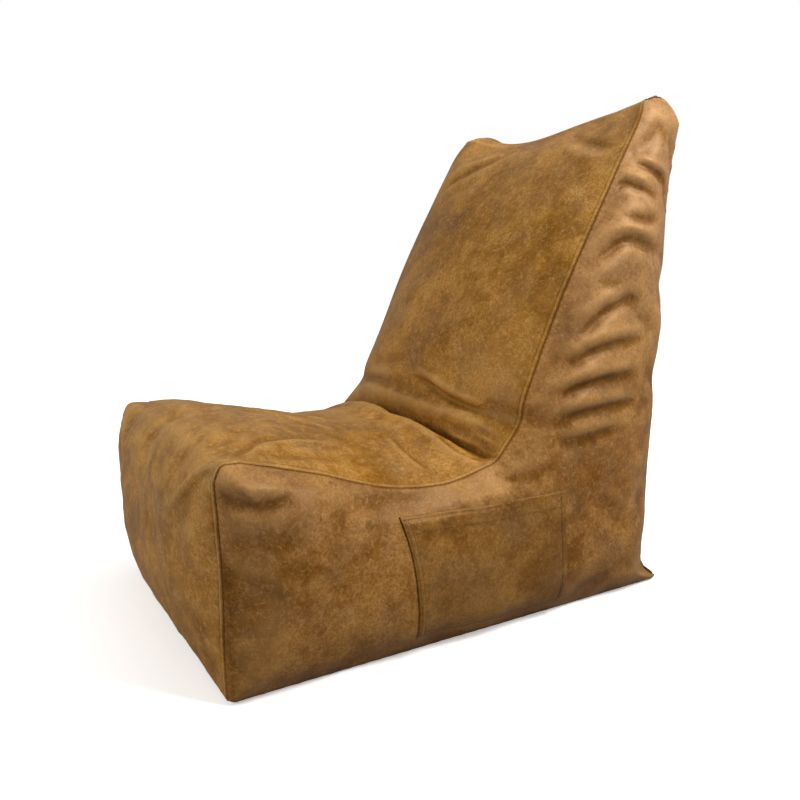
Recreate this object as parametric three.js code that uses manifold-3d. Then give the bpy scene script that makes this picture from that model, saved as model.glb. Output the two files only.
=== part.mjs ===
// Bean bag chair: a sewn cover of seven panels round an inner bag of beads, closed by a zip low on its back.
// Millimetres, +Z up. The origin is on the floor under the middle; the sitter faces -Y, and +X is on their left.
import * as THREE from "three";
import { ParametricGeometry } from "three/addons/geometries/ParametricGeometry.js";
import { mergeVertices } from "three/addons/utils/BufferGeometryUtils.js";
import Module from "manifold-3d";

// Overall sizes
const seamWidth = 643; // between the two side seams, at the seat
const topTaper = 0.959; // share of that width left at the top
const baseDepth = 950;
const totalHeight = 994;
const frontHeight = 383;
const frontLean = 14; // the front panel leans out this far over its foot
const creaseY = 37;
const creaseHeight = 323;
const seatSag = 46; // the seat seam hangs this far under a straight line
const backBow = 26; // the backrest seam bows back this far behind a straight line
const topDepth = 91; // front to back through the top roll
const sideBulge = 39;
const edgeRadius = 11; // rounding of the two foot edges
const bulge = { front: 34, corner: 22, seat: 46, crease: 26, back: 34, top: -13, rear: 22 };

// Layers, from outside in
const coverSkin = 1.5;
const linerSkin = 0.8;
const layerGap = 0.4;
const seamGap = 0.3;
const cutterReach = 1; // how far a panel's cutter reaches past both faces of the cover

// Zips: the cover's, and the inner bag's behind it
const zipHeight = 76;
const zipPlaneInset = 48; // the zip's flat band lies this far in front of the rear foot edge
const zipEndMargin = 41.5; // from each side seam to the end of the cover's zip
const innerZipShorter = 60;
const tapeMargin = 7; // the band is flat this far past each tape
const zipRoom = 9; // clear depth between the two zips
const stopLength = 4;

function zipSizes(length, coilWidth, coilThick, plate, sliderLength) {
  const tapeWidth = 14;
  const tapeThick = 0.9;
  const play = 0.3;
  const post = 0.9;
  const lip = 1.2;
  const coilGap = post + 2 * play + 0.1;
  const sliderHalf = coilGap / 2 + coilWidth + play + lip;
  const slot = 2 * (sliderHalf + 4 * play);
  const inward = play + tapeThick + play + plate; // how far it reaches inside what it is sewn to
  const outward = coilThick + play + plate;
  return { length, coilWidth, coilThick, plate, sliderLength, tapeWidth, tapeThick, play, post, lip, coilGap,
    sliderHalf, slot, inward, outward };
}
const zip = zipSizes(seamWidth - 2 * zipEndMargin, 2.3, 2.2, 1.2, 13);
const innerZip = zipSizes(zip.length - innerZipShorter, 1.9, 1.6, 0.9, 10);
const zipBand = zip.coilGap / 2 + zip.tapeWidth + tapeMargin; // half the height of the flat band
const innerRecess = zipRoom + zip.inward + innerZip.outward - linerSkin; // the inner bag stands back behind the zip

// The pull tab and the pin it turns on
const pinRadius = 0.8;
const pinPlay = 0.3;
const eyeWall = 1;
const pinLift = pinRadius + pinPlay + eyeWall + 0.4; // from the slider's face to the pin's middle
const pinLength = 6.4;
const earThick = 1.3;
const pullerLength = 34;
const pullerWidth = 9;
const pullerThick = 1.2;

// Side pocket, sewn to the left side panel
const pocketWidth = 345;
const pocketHeight = 232;
const pocketFoot = 30;
const pocketMiddleY = -18;
const pocketRoom = 7.2; // how far its mouth stands open
const pocketSkin = 2;
const pocketHem = 14; // width of the sewn-down border inside the pocket

const leather = { tan: 0x8a5d2c, dark: 0x7a4f27, side: 0x8d6538 };

const wasm = await Module();
wasm.setup();

const halfDepth = baseDepth / 2;
const zipPlane = halfDepth - zipPlaneInset;

function solidOf(geometry) {
  geometry.deleteAttribute("normal");
  geometry.deleteAttribute("uv");
  const merged = mergeVertices(geometry, 1e-4);
  const triVerts = new Uint32Array(merged.index.array);
  const vertProperties = merged.attributes.position.array;
  return new wasm.Manifold(new wasm.Mesh({ numProp: 3, vertProperties, triVerts }));
}

// A closed outline of [y, z] points, pushed along X from x0 to x1.
function prismX(points, x0, x1) {
  const shape = new THREE.Shape(points.map(([y, z]) => new THREE.Vector2(y, z)));
  const made = new THREE.ExtrudeGeometry(shape, { depth: x1 - x0, bevelEnabled: false });
  const turn = new THREE.Matrix4().makeBasis(axisY, axisZ, axisX);
  return solidOf(made.applyMatrix4(turn).translate(x0, 0, 0));
}

const axisX = new THREE.Vector3(1, 0, 0);
const axisY = new THREE.Vector3(0, 1, 0);
const axisZ = new THREE.Vector3(0, 0, 1);

function box(x0, x1, y0, y1, z0, z1) {
  const made = new THREE.BoxGeometry(x1 - x0, y1 - y0, z1 - z0);
  return solidOf(made.translate((x0 + x1) / 2, (y0 + y1) / 2, (z0 + z1) / 2));
}

const mix = (a, b, k) => a + (b - a) * k;
const arch = (k) => Math.sin(Math.PI * k);
const halfWidthAt = (z) => (seamWidth / 2) * mix(1, topTaper, z / totalHeight);

// The side seam as stretches of curve, each with its steps and how far the strip between the seams rises over it.
function seamStretches() {
  const noseY = -halfDepth - frontLean;
  const nose = [noseY, frontHeight - 28];
  const brow = [noseY + 42, frontHeight - 2];
  const crease = [creaseY, creaseHeight];
  const backY = halfDepth + 5;
  const browTop = [backY - topDepth, totalHeight - 9];
  const ridge = [backY - topDepth * 0.68, totalHeight];
  const rearTop = [backY, totalHeight - 46];
  const bandTop = [zipPlane, zipHeight + zipBand];
  const bandFoot = [zipPlane, zipHeight - zipBand];
  const footRear = [halfDepth, edgeRadius * 0.6];
  const footFront = [-halfDepth, edgeRadius * 0.6];
  const seatAt = (k, sag) => [mix(brow[0], crease[0], k), mix(brow[1], crease[1], k) - seatSag * sag];
  const backAt = (k, bow) => [mix(crease[0], browTop[0], k) - backBow * bow, mix(crease[1], browTop[1], k)];
  const rearAt = (k, inset) => [backY - inset, mix(rearTop[1], bandTop[1], k)];
  const { front, corner, seat, crease: fold, back, top, rear } = bulge;
  return [
    { name: "front", steps: 6, points: [footFront, [-halfDepth - 2, frontHeight * 0.4], nose],
      rise: (k) => Math.min(1, 2.4 * k) * mix(front, corner, k * k) },
    { name: "nose", steps: 3, points: [nose, [noseY + 12, frontHeight - 4], brow], rise: () => corner },
    { name: "seat", steps: 9,
      points: [brow, seatAt(0.26, 0.42), seatAt(0.52, 0.98), seatAt(0.76, 0.92), seatAt(0.95, 0.28), crease],
      rise: (k) => mix(corner, fold, k) + (seat - corner) * arch(k) },
    { name: "back", steps: 10,
      points: [crease, backAt(0.09, -0.65), backAt(0.18, -0.1), backAt(0.45, 0.42), backAt(0.75, 0.3), browTop],
      rise: (k) => mix(fold, top, k * k) + (back - fold / 2) * arch(k) },
    { name: "brow", steps: 2, points: [browTop, ridge], rise: () => top },
    { name: "topSeam", steps: 3, points: [ridge, [backY - topDepth * 0.33, totalHeight - 6], rearTop],
      rise: (k) => top * (1 - k) },
    { name: "rear", steps: 7,
      points: [rearTop, rearAt(0.18, 24), rearAt(0.5, 28), rearAt(0.78, 44), rearAt(0.94, 49), bandTop],
      rise: (k) => rear * arch(k) },
    { name: "band", steps: 2, points: [bandTop, [zipPlane, zipHeight]], rise: () => 0 },
    { name: "zip", steps: 2, points: [[zipPlane, zipHeight], bandFoot], rise: () => 0 },
    { name: "heel", steps: 3, points: [bandFoot, [mix(zipPlane, halfDepth, 0.42), zipHeight * 0.36], footRear],
      rise: () => 0 },
    { name: "footRear", steps: 2, points: [footRear, [halfDepth - edgeRadius, 0]], rise: () => 0 },
    { name: "base", steps: 3, points: [[halfDepth - edgeRadius, 0], [edgeRadius - halfDepth, 0]], rise: () => 0 },
    { name: "toe", steps: 2, points: [[edgeRadius - halfDepth, 0], footFront], rise: () => 0 },
  ];
}

const mark = {}; // where each stretch starts on the ring

// The stretches as one ring of points with their outward directions, clockwise when seen from +X.
function seamRing() {
  const made = [];
  for (const { name, steps, points, rise } of seamStretches()) {
    const curve = new THREE.SplineCurve(points.map(([y, z]) => new THREE.Vector2(y, z)));
    mark[name] = made.length;
    for (let i = 0; i < steps; i++) {
      const at = curve.getPoint(i / steps);
      const behindZip = name === "zip" || (name === "band" && i > 0);
      made.push({ y: at.x, z: at.y, rise: rise(i / steps), recess: behindZip ? innerRecess : 0 });
    }
  }
  const facing = (p, q) => new THREE.Vector2(p.z - q.z, q.y - p.y).normalize();
  made.forEach((p, i) => {
    const before = facing(made.at(i - 1), p);
    const after = facing(p, made[(i + 1) % made.length]);
    const out = before.clone().add(after).normalize();
    out.divideScalar(out.dot(after));
    p.outY = out.x;
    p.outZ = out.y;
  });
  // The strip rises along a direction averaged with its neighbours', so that it doesn't fold into the crease.
  made.forEach((p, i) => {
    const near = [-3, -2, -1, 0, 1, 2, 3].map((step) => made.at((i + step) % made.length));
    const y = near.reduce((sum, q) => sum + q.outY, 0);
    const z = near.reduce((sum, q) => sum + q.outZ, 0);
    p.riseY = (p.rise * y) / Math.hypot(y, z);
    p.riseZ = (p.rise * z) / Math.hypot(y, z);
  });
  return made;
}
const ring = seamRing();

// A point that every seam point can be seen from, so that rings shrink to it without folding.
function seamHeart() {
  const y = halfDepth * 0.42;
  let z = frontHeight * 0.43;
  ring.forEach((p, i) => {
    const next = ring[(i + 1) % ring.length];
    const onSeat = p.outZ > 0.5 && next.y > p.y && next.y < creaseY && next.z < p.z;
    if (onSeat) z = Math.min(z, p.z + ((next.z - p.z) * (y - p.y)) / (next.y - p.y) - 8);
  });
  return { y, z };
}
const heart = seamHeart();

const stripStations = [1, 0.82, 0.55, 0.2, -0.2, -0.55, -0.82, -1];
const sideRings = [1, 0.32, 0.21, 0.12, 0.05]; // share of the way in from the seam to the heart
const flatFrom = sideRings[1]; // nearer the heart than this the side is flat

// The point of the bag's outside on a line of the ring at a station, moved in by depth.
function skinPoint(p, station, depth, target) {
  const half = halfWidthAt(p.z) - depth;
  const inset = depth + (depth > coverSkin ? p.recess : 0);
  if (!station.side) {
    const swell = 1 - Math.abs(station.across) ** 2.4;
    const y = p.y + p.riseY * swell - p.outY * inset;
    return target.set(station.across * half, y, p.z + p.riseZ * swell - p.outZ * inset);
  }
  const near = Math.min(1, station.inward / flatFrom);
  const x = mix(half, halfWidthAt(heart.z) - depth, near) + sideBulge * Math.sin((near * Math.PI) / 2);
  const y = mix(p.y - p.outY * inset, heart.y, station.inward);
  return target.set(station.side * x, y, mix(p.z - p.outZ * inset, heart.z, station.inward));
}

// A closed solid from a place for each of across by along points.
function lofted(across, along, place) {
  const at = (u, v, target) => place(Math.round(u * across) % across, Math.round(v * along), target);
  return solidOf(new ParametricGeometry(at, across, along));
}

// The whole bag, moved in everywhere by depth.
function form(depth) {
  const stations = [
    ...sideRings.map((inward) => ({ side: 1, inward })),
    ...stripStations.map((across) => ({ across })),
    ...[...sideRings].reverse().map((inward) => ({ side: -1, inward })),
  ];
  return lofted(ring.length, stations.length - 1, (i, j, target) => skinPoint(ring[i], stations[j], depth, target));
}

// What cuts one panel out of the cover's strip, along the ring from one place to another: edges exact, faces well clear.
function stripCutter(from, to) {
  const lines = ring.slice(from, to + 1);
  const cut = (p, q) => {
    const k = seamGap / 2 / Math.hypot(q.y - p.y, q.z - p.z);
    return Object.fromEntries(["y", "z", "outY", "outZ", "riseY", "riseZ"].map((key) => [key, mix(p[key], q[key], k)]));
  };
  if (to >= ring.length) lines.push(ring[0]);
  lines[0] = cut(lines[0], lines[1]);
  lines.push(cut(lines.pop(), lines.at(-1)));
  const count = lines.length;
  const last = stripStations.length + 1;
  return lofted(2 * count, last, (i, j, target) => {
    const line = { ...lines[i < count ? i : 2 * count - 1 - i], recess: 0 };
    const across = stripStations[Math.min(Math.max(j - 1, 0), last - 2)];
    const depth = j === 0 || j === last ? coverSkin / 2 : i < count ? -cutterReach : coverSkin + cutterReach;
    skinPoint(line, { across }, depth, target);
    if (Math.abs(across) === 1) target.x = across * (halfWidthAt(line.z) - seamGap / 2);
  });
}

// Everything between the two side seams, and half a seam gap past them.
function betweenSeams() {
  const past = 300;
  const low = halfWidthAt(-past) + seamGap / 2;
  const high = halfWidthAt(totalHeight + past) + seamGap / 2;
  const corners = [[-low, -past], [low, -past], [high, totalHeight + past], [-high, totalHeight + past]];
  const shape = new THREE.Shape(corners.map(([x, z]) => new THREE.Vector2(x, z)));
  const made = new THREE.ExtrudeGeometry(shape, { depth: 2 * baseDepth, bevelEnabled: false });
  const turn = new THREE.Matrix4().makeBasis(axisX, axisZ, axisY.clone().negate());
  return solidOf(made.applyMatrix4(turn).translate(0, baseDepth, 0));
}

const slotFor = (z) =>
  box(-z.length / 2 - 3, z.length / 2 + 3, zipPlane - 60, zipPlane + 60, zipHeight - z.slot / 2, zipHeight + z.slot / 2);

const group = new THREE.Group();

function add(name, solid, color, roughness, metalness = 0) {
  const mesh = solid.getMesh();
  const geometry = new THREE.BufferGeometry()
    .setAttribute("position", new THREE.BufferAttribute(new Float32Array(mesh.vertProperties), 3))
    .setIndex(new THREE.BufferAttribute(mesh.triVerts, 1));
  geometry.computeVertexNormals();
  const made = new THREE.Mesh(geometry, new THREE.MeshStandardMaterial({ color, roughness, metalness }));
  made.name = name;
  group.add(made);
}

function addCover() {
  const shell = form(0).subtract(form(coverSkin));
  const panel = (from, to) => shell.intersect(stripCutter(from, to));
  const slot = slotFor(zip);
  add("seat_front_panel", panel(mark.front, mark.back), leather.tan, 0.5);
  add("backrest_panel", panel(mark.back, mark.topSeam), leather.tan, 0.5);
  add("rear_panel_upper", panel(mark.topSeam, mark.zip).subtract(slot), leather.dark, 0.5);
  add("rear_panel_lower", panel(mark.zip, mark.footRear).subtract(slot), leather.dark, 0.5);
  add("base_panel", panel(mark.footRear, ring.length), leather.dark, 0.6);
  const sides = shell.subtract(betweenSeams());
  const far = 2 * baseDepth;
  add("side_panel_left", sides.intersect(box(0, far, -far, far, -far, far)), leather.side, 0.5);
  add("side_panel_right", sides.intersect(box(-far, 0, -far, far, -far, far)), leather.side, 0.5);
}

function addFilling() {
  const linerOut = coverSkin + layerGap;
  const beadsOut = linerOut + linerSkin + layerGap;
  const liner = form(linerOut).subtract(form(linerOut + linerSkin));
  add("liner", liner.subtract(slotFor(innerZip)), 0xe8e6e0, 0.9);
  const wall = zipPlane - innerRecess - beadsOut;
  const groove = box(-innerZip.length / 2 - 12, innerZip.length / 2 + 12, wall - 9, wall + 40,
    zipHeight - 20, zipHeight + 20);
  add("bead_fill", form(beadsOut).subtract(groove), 0xf4f4f2, 0.8);
}

// One zip: two tapes, two half coils, two end stops and the slider. panelBack is the inside face it is sewn to.
function addZip(prefix, z, panelBack, reach) {
  const tapeOut = panelBack - z.play;
  const tapeIn = tapeOut - z.tapeThick;
  const coilIn = tapeOut + z.play;
  const coilOut = coilIn + z.coilThick;
  const inner = z.coilGap / 2;
  const rim = inner + z.coilWidth;
  const half = z.length / 2;
  for (const [word, way] of [["upper", 1], ["lower", -1]]) {
    const bar = (near, deep, y0, y1, length) => {
      const a = zipHeight + way * near;
      const b = zipHeight + way * deep;
      return box(-length / 2, length / 2, y0, y1, Math.min(a, b), Math.max(a, b));
    };
    add(prefix + "_tape_" + word, bar(inner + 0.2, inner + 0.2 + z.tapeWidth, tapeIn, tapeOut, z.length + 12), 0x4a3018, 0.85);
    add(prefix + "_coil_" + word, bar(inner, rim, coilIn, coilOut, z.length - 2 * stopLength - 0.6), 0x3a2614, 0.4);
  }
  const stop = (from, to) => box(from, to, coilIn, coilOut + 0.3, zipHeight - rim, zipHeight + rim);
  add(prefix + "_stop_closed", stop(half - stopLength, half), 0xb89a5c, 0.35, 0.9);
  add(prefix + "_stop_open", stop(-half, stopLength - half), 0xb89a5c, 0.35, 0.9);
  const sliderMiddle = half - stopLength - z.play - z.sliderLength / 2;
  add(prefix + "_slider", sliderSolid(z, sliderMiddle, tapeIn, coilOut, coilIn, reach), 0xb08d4f, 0.3, 1);
  return { sliderMiddle, face: coilOut + z.play + z.plate };
}

// A plate with narrowed ends, standing across Y from y0 to y1.
function sliderPlate(z, middle, y0, y1) {
  const long = z.sliderLength / 2;
  const wide = z.sliderHalf;
  const shape = new THREE.Shape();
  shape.moveTo(-long, -wide * 0.62);
  shape.quadraticCurveTo(-long * 0.4, -wide, long * 0.3, -wide);
  shape.quadraticCurveTo(long, -wide, long, -wide * 0.75);
  shape.lineTo(long, wide * 0.75);
  shape.quadraticCurveTo(long, wide, long * 0.3, wide);
  shape.quadraticCurveTo(-long * 0.4, wide, -long, wide * 0.62);
  const made = new THREE.ExtrudeGeometry(shape, { depth: y1 - y0, bevelEnabled: false, curveSegments: 4 });
  const turn = new THREE.Matrix4().makeBasis(axisX, axisZ, axisY.clone().negate());
  return solidOf(made.applyMatrix4(turn).translate(middle, y1, zipHeight));
}

function sliderSolid(z, middle, tapeIn, coilOut, coilIn, hasPuller) {
  const top = coilOut + z.play;
  const bottom = tapeIn - z.play;
  let made = sliderPlate(z, middle, top, top + z.plate).add(sliderPlate(z, middle, bottom - z.plate, bottom));
  const postFrom = middle + z.sliderLength * 0.12;
  made = made.add(box(postFrom, postFrom + z.sliderLength * 0.3, bottom - 0.2, top + 0.2,
    zipHeight - z.post / 2, zipHeight + z.post / 2));
  const lipIn = z.coilGap / 2 + z.coilWidth + z.play;
  for (const way of [1, -1]) {
    const a = zipHeight + way * lipIn;
    const b = zipHeight + way * (z.sliderHalf - z.lip * 0.12);
    made = made.add(box(middle - z.sliderLength * 0.3, middle + z.sliderLength * 0.3, coilIn, top + 0.2,
      Math.min(a, b), Math.max(a, b)));
  }
  return hasPuller ? made.add(bailSolid(middle, top + z.plate)) : made;
}

// Two ears on the slider with the puller's pin between them, the pin along Z.
function bailSolid(middle, face) {
  const pin = new THREE.CylinderGeometry(pinRadius, pinRadius, pinLength, 16).rotateX(Math.PI / 2);
  let made = solidOf(pin.translate(middle, face + pinLift, zipHeight));
  for (const way of [1, -1]) {
    const a = zipHeight + way * (pinLength / 2 - earThick);
    const b = zipHeight + way * (pinLength / 2);
    made = made.add(box(middle - 1.6, middle + 1.6, face - 0.2, face + pinLift + pinRadius + 0.6,
      Math.min(a, b), Math.max(a, b)));
  }
  return made;
}

// The pull tab lies along the closed chain: a narrow eye round the pin, widening to a rounded tab.
function addPuller(middle, face) {
  const pinY = face + pinLift;
  const eye = pinRadius + pinPlay;
  const neck = pinLength / 2 - earThick - pinPlay;
  const neckLength = 7;
  const shape = new THREE.Shape();
  shape.moveTo(eye + eyeWall, -neck);
  shape.lineTo(eye + eyeWall, neck);
  shape.lineTo(-neckLength, neck);
  shape.quadraticCurveTo(-neckLength - 3, pullerWidth / 2, -neckLength - 7, pullerWidth / 2);
  shape.lineTo(pullerWidth / 2 - pullerLength, pullerWidth / 2);
  shape.absarc(pullerWidth / 2 - pullerLength, 0, pullerWidth / 2, Math.PI / 2, Math.PI * 1.5, false);
  shape.lineTo(-neckLength - 7, -pullerWidth / 2);
  shape.quadraticCurveTo(-neckLength - 3, -pullerWidth / 2, -neckLength, -neck);
  const hole = new THREE.Path().absellipse(6 - pullerLength, 0, 2.2, 2.2, 0, 2 * Math.PI, true);
  shape.holes.push(hole);
  const made = new THREE.ExtrudeGeometry(shape, { depth: pullerThick, bevelEnabled: false, curveSegments: 8 });
  const turn = new THREE.Matrix4().makeBasis(axisX, axisZ, axisY.clone().negate());
  const plate = solidOf(made.applyMatrix4(turn).translate(middle, pinY + pullerThick / 2, zipHeight));
  const knuckle = new THREE.CylinderGeometry(eye + eyeWall, eye + eyeWall, 2 * neck, 24).rotateX(Math.PI / 2);
  const bore = new THREE.CylinderGeometry(eye, eye, 4 * neck, 24).rotateX(Math.PI / 2);
  const eyeSolid = solidOf(knuckle.translate(middle, pinY, zipHeight));
  add("cover_zip_puller", plate.add(eyeSolid).subtract(solidOf(bore.translate(middle, pinY, zipHeight))), 0xb89a5c, 0.3, 1);
}

// A pouch that follows the side panel, sewn down at its sides and foot and open along its top.
function addPocket() {
  const side = form(0);
  const front = pocketMiddleY - pocketWidth / 2;
  const rear = pocketMiddleY + pocketWidth / 2;
  const outline = (border, top) => [
    [front + border, pocketFoot + border + 8],
    [rear - border, pocketFoot + border - 6],
    [rear - border, top],
    [front + border, top],
  ];
  const from = halfWidthAt(0) * 0.9;
  const outer = side.translate([layerGap + pocketRoom + pocketSkin, 0, 0]);
  const roomFace = side.translate([layerGap + pocketRoom, 0, 0]);
  const back = side.translate([layerGap, 0, 0]);
  const top = pocketFoot + pocketHeight;
  const room = roomFace.intersect(prismX(outline(pocketHem, top + 50), from, 2 * seamWidth));
  add("side_pocket", outer.intersect(prismX(outline(0, top), from, 2 * seamWidth)).subtract(back).subtract(room), leather.dark, 0.5);
}

addCover();
addFilling();
const pull = addZip("cover_zip", zip, zipPlane - coverSkin, true);
addPuller(pull.sliderMiddle, pull.face);
addZip("liner_zip", innerZip, zipPlane - coverSkin - layerGap - innerRecess - linerSkin, false);
addPocket();

export default group;
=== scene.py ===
import math
import bpy
import bmesh
import numpy as np
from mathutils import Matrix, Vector, kdtree, noise


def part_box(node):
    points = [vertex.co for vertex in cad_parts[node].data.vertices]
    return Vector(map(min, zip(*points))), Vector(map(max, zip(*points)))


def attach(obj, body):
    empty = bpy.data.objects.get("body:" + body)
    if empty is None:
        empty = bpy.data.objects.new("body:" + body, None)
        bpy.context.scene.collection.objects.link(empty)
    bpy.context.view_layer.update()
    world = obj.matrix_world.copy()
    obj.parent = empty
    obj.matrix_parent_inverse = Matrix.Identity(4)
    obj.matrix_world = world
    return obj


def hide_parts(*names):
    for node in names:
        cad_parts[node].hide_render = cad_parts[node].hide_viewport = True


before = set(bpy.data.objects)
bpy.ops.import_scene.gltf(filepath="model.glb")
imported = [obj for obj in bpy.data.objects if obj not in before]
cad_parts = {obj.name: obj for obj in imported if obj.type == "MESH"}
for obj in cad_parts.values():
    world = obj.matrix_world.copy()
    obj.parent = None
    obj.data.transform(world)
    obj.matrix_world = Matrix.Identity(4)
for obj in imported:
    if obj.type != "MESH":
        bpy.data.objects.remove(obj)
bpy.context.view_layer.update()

print("bean bag chair: frame loaded")

# sizes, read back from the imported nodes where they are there
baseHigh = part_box("base_panel")[1]
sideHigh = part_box("side_panel_left")[1]
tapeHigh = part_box("cover_zip_tape_lower")[1]
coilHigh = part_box("cover_zip_coil_upper")[1]
zipMiddle = (tapeHigh.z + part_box("cover_zip_tape_upper")[0].z) / 2

bag = {
    "seamHalf": baseHigh.x,             # half the width between the side seams at the foot
    "topTaper": 0.959,                  # share of it left at the top
    "halfDepth": baseHigh.y,
    "totalHeight": sideHigh.z,
    "frontHeight": 0.383,
    "frontLean": 0.014,
    "creaseY": 0.037,
    "creaseHeight": 0.323,
    "seatSag": 0.046,
    "backBow": 0.026,
    "topDepth": 0.091,
    "sideBulge": 0.041,
    "zipHeight": zipMiddle,
    "zipPlane": coilHigh.y - 0.0007,    # outside face of the flat band round the zip
    "zipBand": 0.0218,
    "slotHalf": coilHigh.z - zipMiddle + 0.0027,
    "slotEnd": tapeHigh.x - 0.003,      # the slot over the zip runs this far each way
    "edgeRadius": 0.011,
    "skin": 0.0013,
    "spacing": 0.0052,                  # distance between mesh lines on the finished cover
}


def mix(a, b, k):
    return a + (b - a) * k


def halfWidthAt(z):
    return bag["seamHalf"] * mix(1.0, bag["topTaper"], np.clip(z / bag["totalHeight"], 0, 1))


def smoothStep(k):
    k = np.clip(k, 0, 1)
    return k * k * (3 - 2 * k)


def splinePoint(points, k):
    # a curve through the points, as a draughtsman's spline
    points = np.asarray(points, float)
    at = np.asarray(k) * (len(points) - 1)
    i = np.clip(at.astype(int), 0, len(points) - 2)
    t = (at - i)[:, None]
    p0, p1 = points[np.maximum(i - 1, 0)], points[i]
    p2, p3 = points[i + 1], points[np.minimum(i + 2, len(points) - 1)]
    v0, v1 = (p2 - p0) / 2, (p3 - p1) / 2
    return ((2 * p1 - 2 * p2 + v0 + v1) * t ** 3 + (-3 * p1 + 3 * p2 - 2 * v0 - v1) * t ** 2 + v0 * t + p1)


def seamStretches():
    # the side seam, as stretches of (name, points, how far the strip between the seams rises over it)
    b = bag
    nose = (-b["halfDepth"] - b["frontLean"], b["frontHeight"] - 0.028)
    brow = (nose[0] + 0.042, b["frontHeight"] - 0.002)
    crease = (b["creaseY"], b["creaseHeight"])
    backY = b["halfDepth"] + 0.005
    high = b["totalHeight"]
    browTop = (backY - b["topDepth"], high - 0.009)
    ridge = (backY - b["topDepth"] * 0.68, high)
    rearTop = (backY, high - 0.046)
    bandTop = (b["zipPlane"], b["zipHeight"] + b["zipBand"])
    bandFoot = (b["zipPlane"], b["zipHeight"] - b["zipBand"])
    footRear = (b["halfDepth"], b["edgeRadius"] * 0.6)
    footFront = (-b["halfDepth"], b["edgeRadius"] * 0.6)

    def seatAt(k, sag):
        return (mix(brow[0], crease[0], k), mix(brow[1], crease[1], k) - b["seatSag"] * sag)

    def backAt(k, bow):
        return (mix(crease[0], browTop[0], k) - b["backBow"] * bow, mix(crease[1], browTop[1], k))

    def rearAt(k, inset):
        return (backY - inset, mix(rearTop[1], bandTop[1], k))

    return [
        ("front", [footFront, (-b["halfDepth"] - 0.002, b["frontHeight"] * 0.4), nose],
         lambda k: np.minimum(1, 2.4 * k) * mix(0.034, 0.022, k * k)),
        ("nose", [nose, (nose[0] + 0.012, b["frontHeight"] - 0.004), brow], lambda k: 0.022 + 0 * k),
        ("seat", [brow, seatAt(0.26, 0.42), seatAt(0.52, 0.98), seatAt(0.76, 0.92), seatAt(0.95, 0.28), crease],
         lambda k: mix(0.022, 0.026, k) + 0.024 * np.sin(math.pi * k)),
        ("back", [crease, backAt(0.09, -0.65), backAt(0.18, -0.1), backAt(0.45, 0.42), backAt(0.75, 0.3),
                  browTop],
         lambda k: mix(0.026, -0.013, k * k) + 0.021 * np.sin(math.pi * k)),
        ("brow", [browTop, ridge], lambda k: -0.013 + 0 * k),
        ("top", [ridge, (backY - b["topDepth"] * 0.33, high - 0.006), rearTop], lambda k: -0.013 * (1 - k)),
        ("rear", [rearTop, rearAt(0.18, 0.024), rearAt(0.5, 0.028), rearAt(0.78, 0.044), rearAt(0.94, 0.049),
                  bandTop],
         lambda k: 0.022 * np.sin(math.pi * k)),
        ("band", [bandTop, (b["zipPlane"], b["zipHeight"])], lambda k: 0 * k),
        ("zip", [(b["zipPlane"], b["zipHeight"]), bandFoot], lambda k: 0 * k),
        ("heel", [bandFoot, (mix(b["zipPlane"], b["halfDepth"], 0.42), b["zipHeight"] * 0.36), footRear],
         lambda k: 0 * k),
        ("footRear", [footRear, (b["halfDepth"] - b["edgeRadius"], 0.0)], lambda k: 0 * k),
        ("base", [(b["halfDepth"] - b["edgeRadius"], 0.0), (b["edgeRadius"] - b["halfDepth"], 0.0)],
         lambda k: 0 * k),
        ("toe", [(b["edgeRadius"] - b["halfDepth"], 0.0), footFront], lambda k: 0 * k),
    ]


def blurRound(values, width):
    # a soft average along a closed line; width is in samples
    reach = int(3 * width)
    weights = np.exp(-0.5 * (np.arange(-reach, reach + 1) / width) ** 2)
    weights /= weights.sum()
    padded = np.concatenate([values[-reach:], values, values[:reach]])
    return np.stack([np.convolve(padded[:, c], weights, "valid") for c in range(values.shape[1])], 1)


def makeRing(step=0.001):
    # the whole seam line sampled every millimetre, with its directions and the strip's rise
    places, rises, marks, total = [], [], {}, 0
    for name, points, rise in seamStretches():
        fine = splinePoint(points, np.linspace(0, 1, 800))
        along = np.concatenate([[0], np.cumsum(np.linalg.norm(np.diff(fine, axis=0), axis=1))])
        count = max(2, int(round(along[-1] / step)))
        at = np.linspace(0, along[-1], count, endpoint=False)
        places.append(np.stack([np.interp(at, along, fine[:, 0]), np.interp(at, along, fine[:, 1])], 1))
        rises.append(rise(at / along[-1]))
        marks[name] = total
        total += count
    place = np.concatenate(places)
    rise = np.concatenate(rises)[:, None]
    ahead = np.roll(place, -1, 0) - np.roll(place, 1, 0)
    out = np.stack([-ahead[:, 1], ahead[:, 0]], 1)
    out /= np.linalg.norm(out, axis=1)[:, None]
    lift = blurRound(out, 42)
    lift /= np.linalg.norm(lift, axis=1)[:, None]
    rise = blurRound(rise, 9)
    arc = np.concatenate([[0], np.cumsum(np.linalg.norm(np.roll(place, -1, 0) - place, axis=1))])
    return {"place": place, "out": out, "lift": lift * rise, "arc": arc, "length": arc[-1],
            "mark": {name: arc[i] for name, i in marks.items()}}


ring = makeRing()


def alongRing(field, s):
    # a ring field at arc lengths s
    s = np.mod(s, ring["length"])
    values = np.concatenate([ring[field], ring[field][:1]])
    return np.stack([np.interp(s, ring["arc"], values[:, c]) for c in range(values.shape[1])], 1)


def stripSurface(s, t):
    # the strip between the side seams: s along the seam, t from -1 to 1 across
    place, lift = alongRing("place", s), alongRing("lift", s)
    half = halfWidthAt(place[:, 1])
    swell = 1 - np.abs(t) ** 2.4
    grid = np.empty((len(s), len(t), 3))
    grid[..., 0] = half[:, None] * t[None]
    grid[..., 1:] = place[:, None] + lift[:, None] * swell[None, :, None]
    return grid


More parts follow.
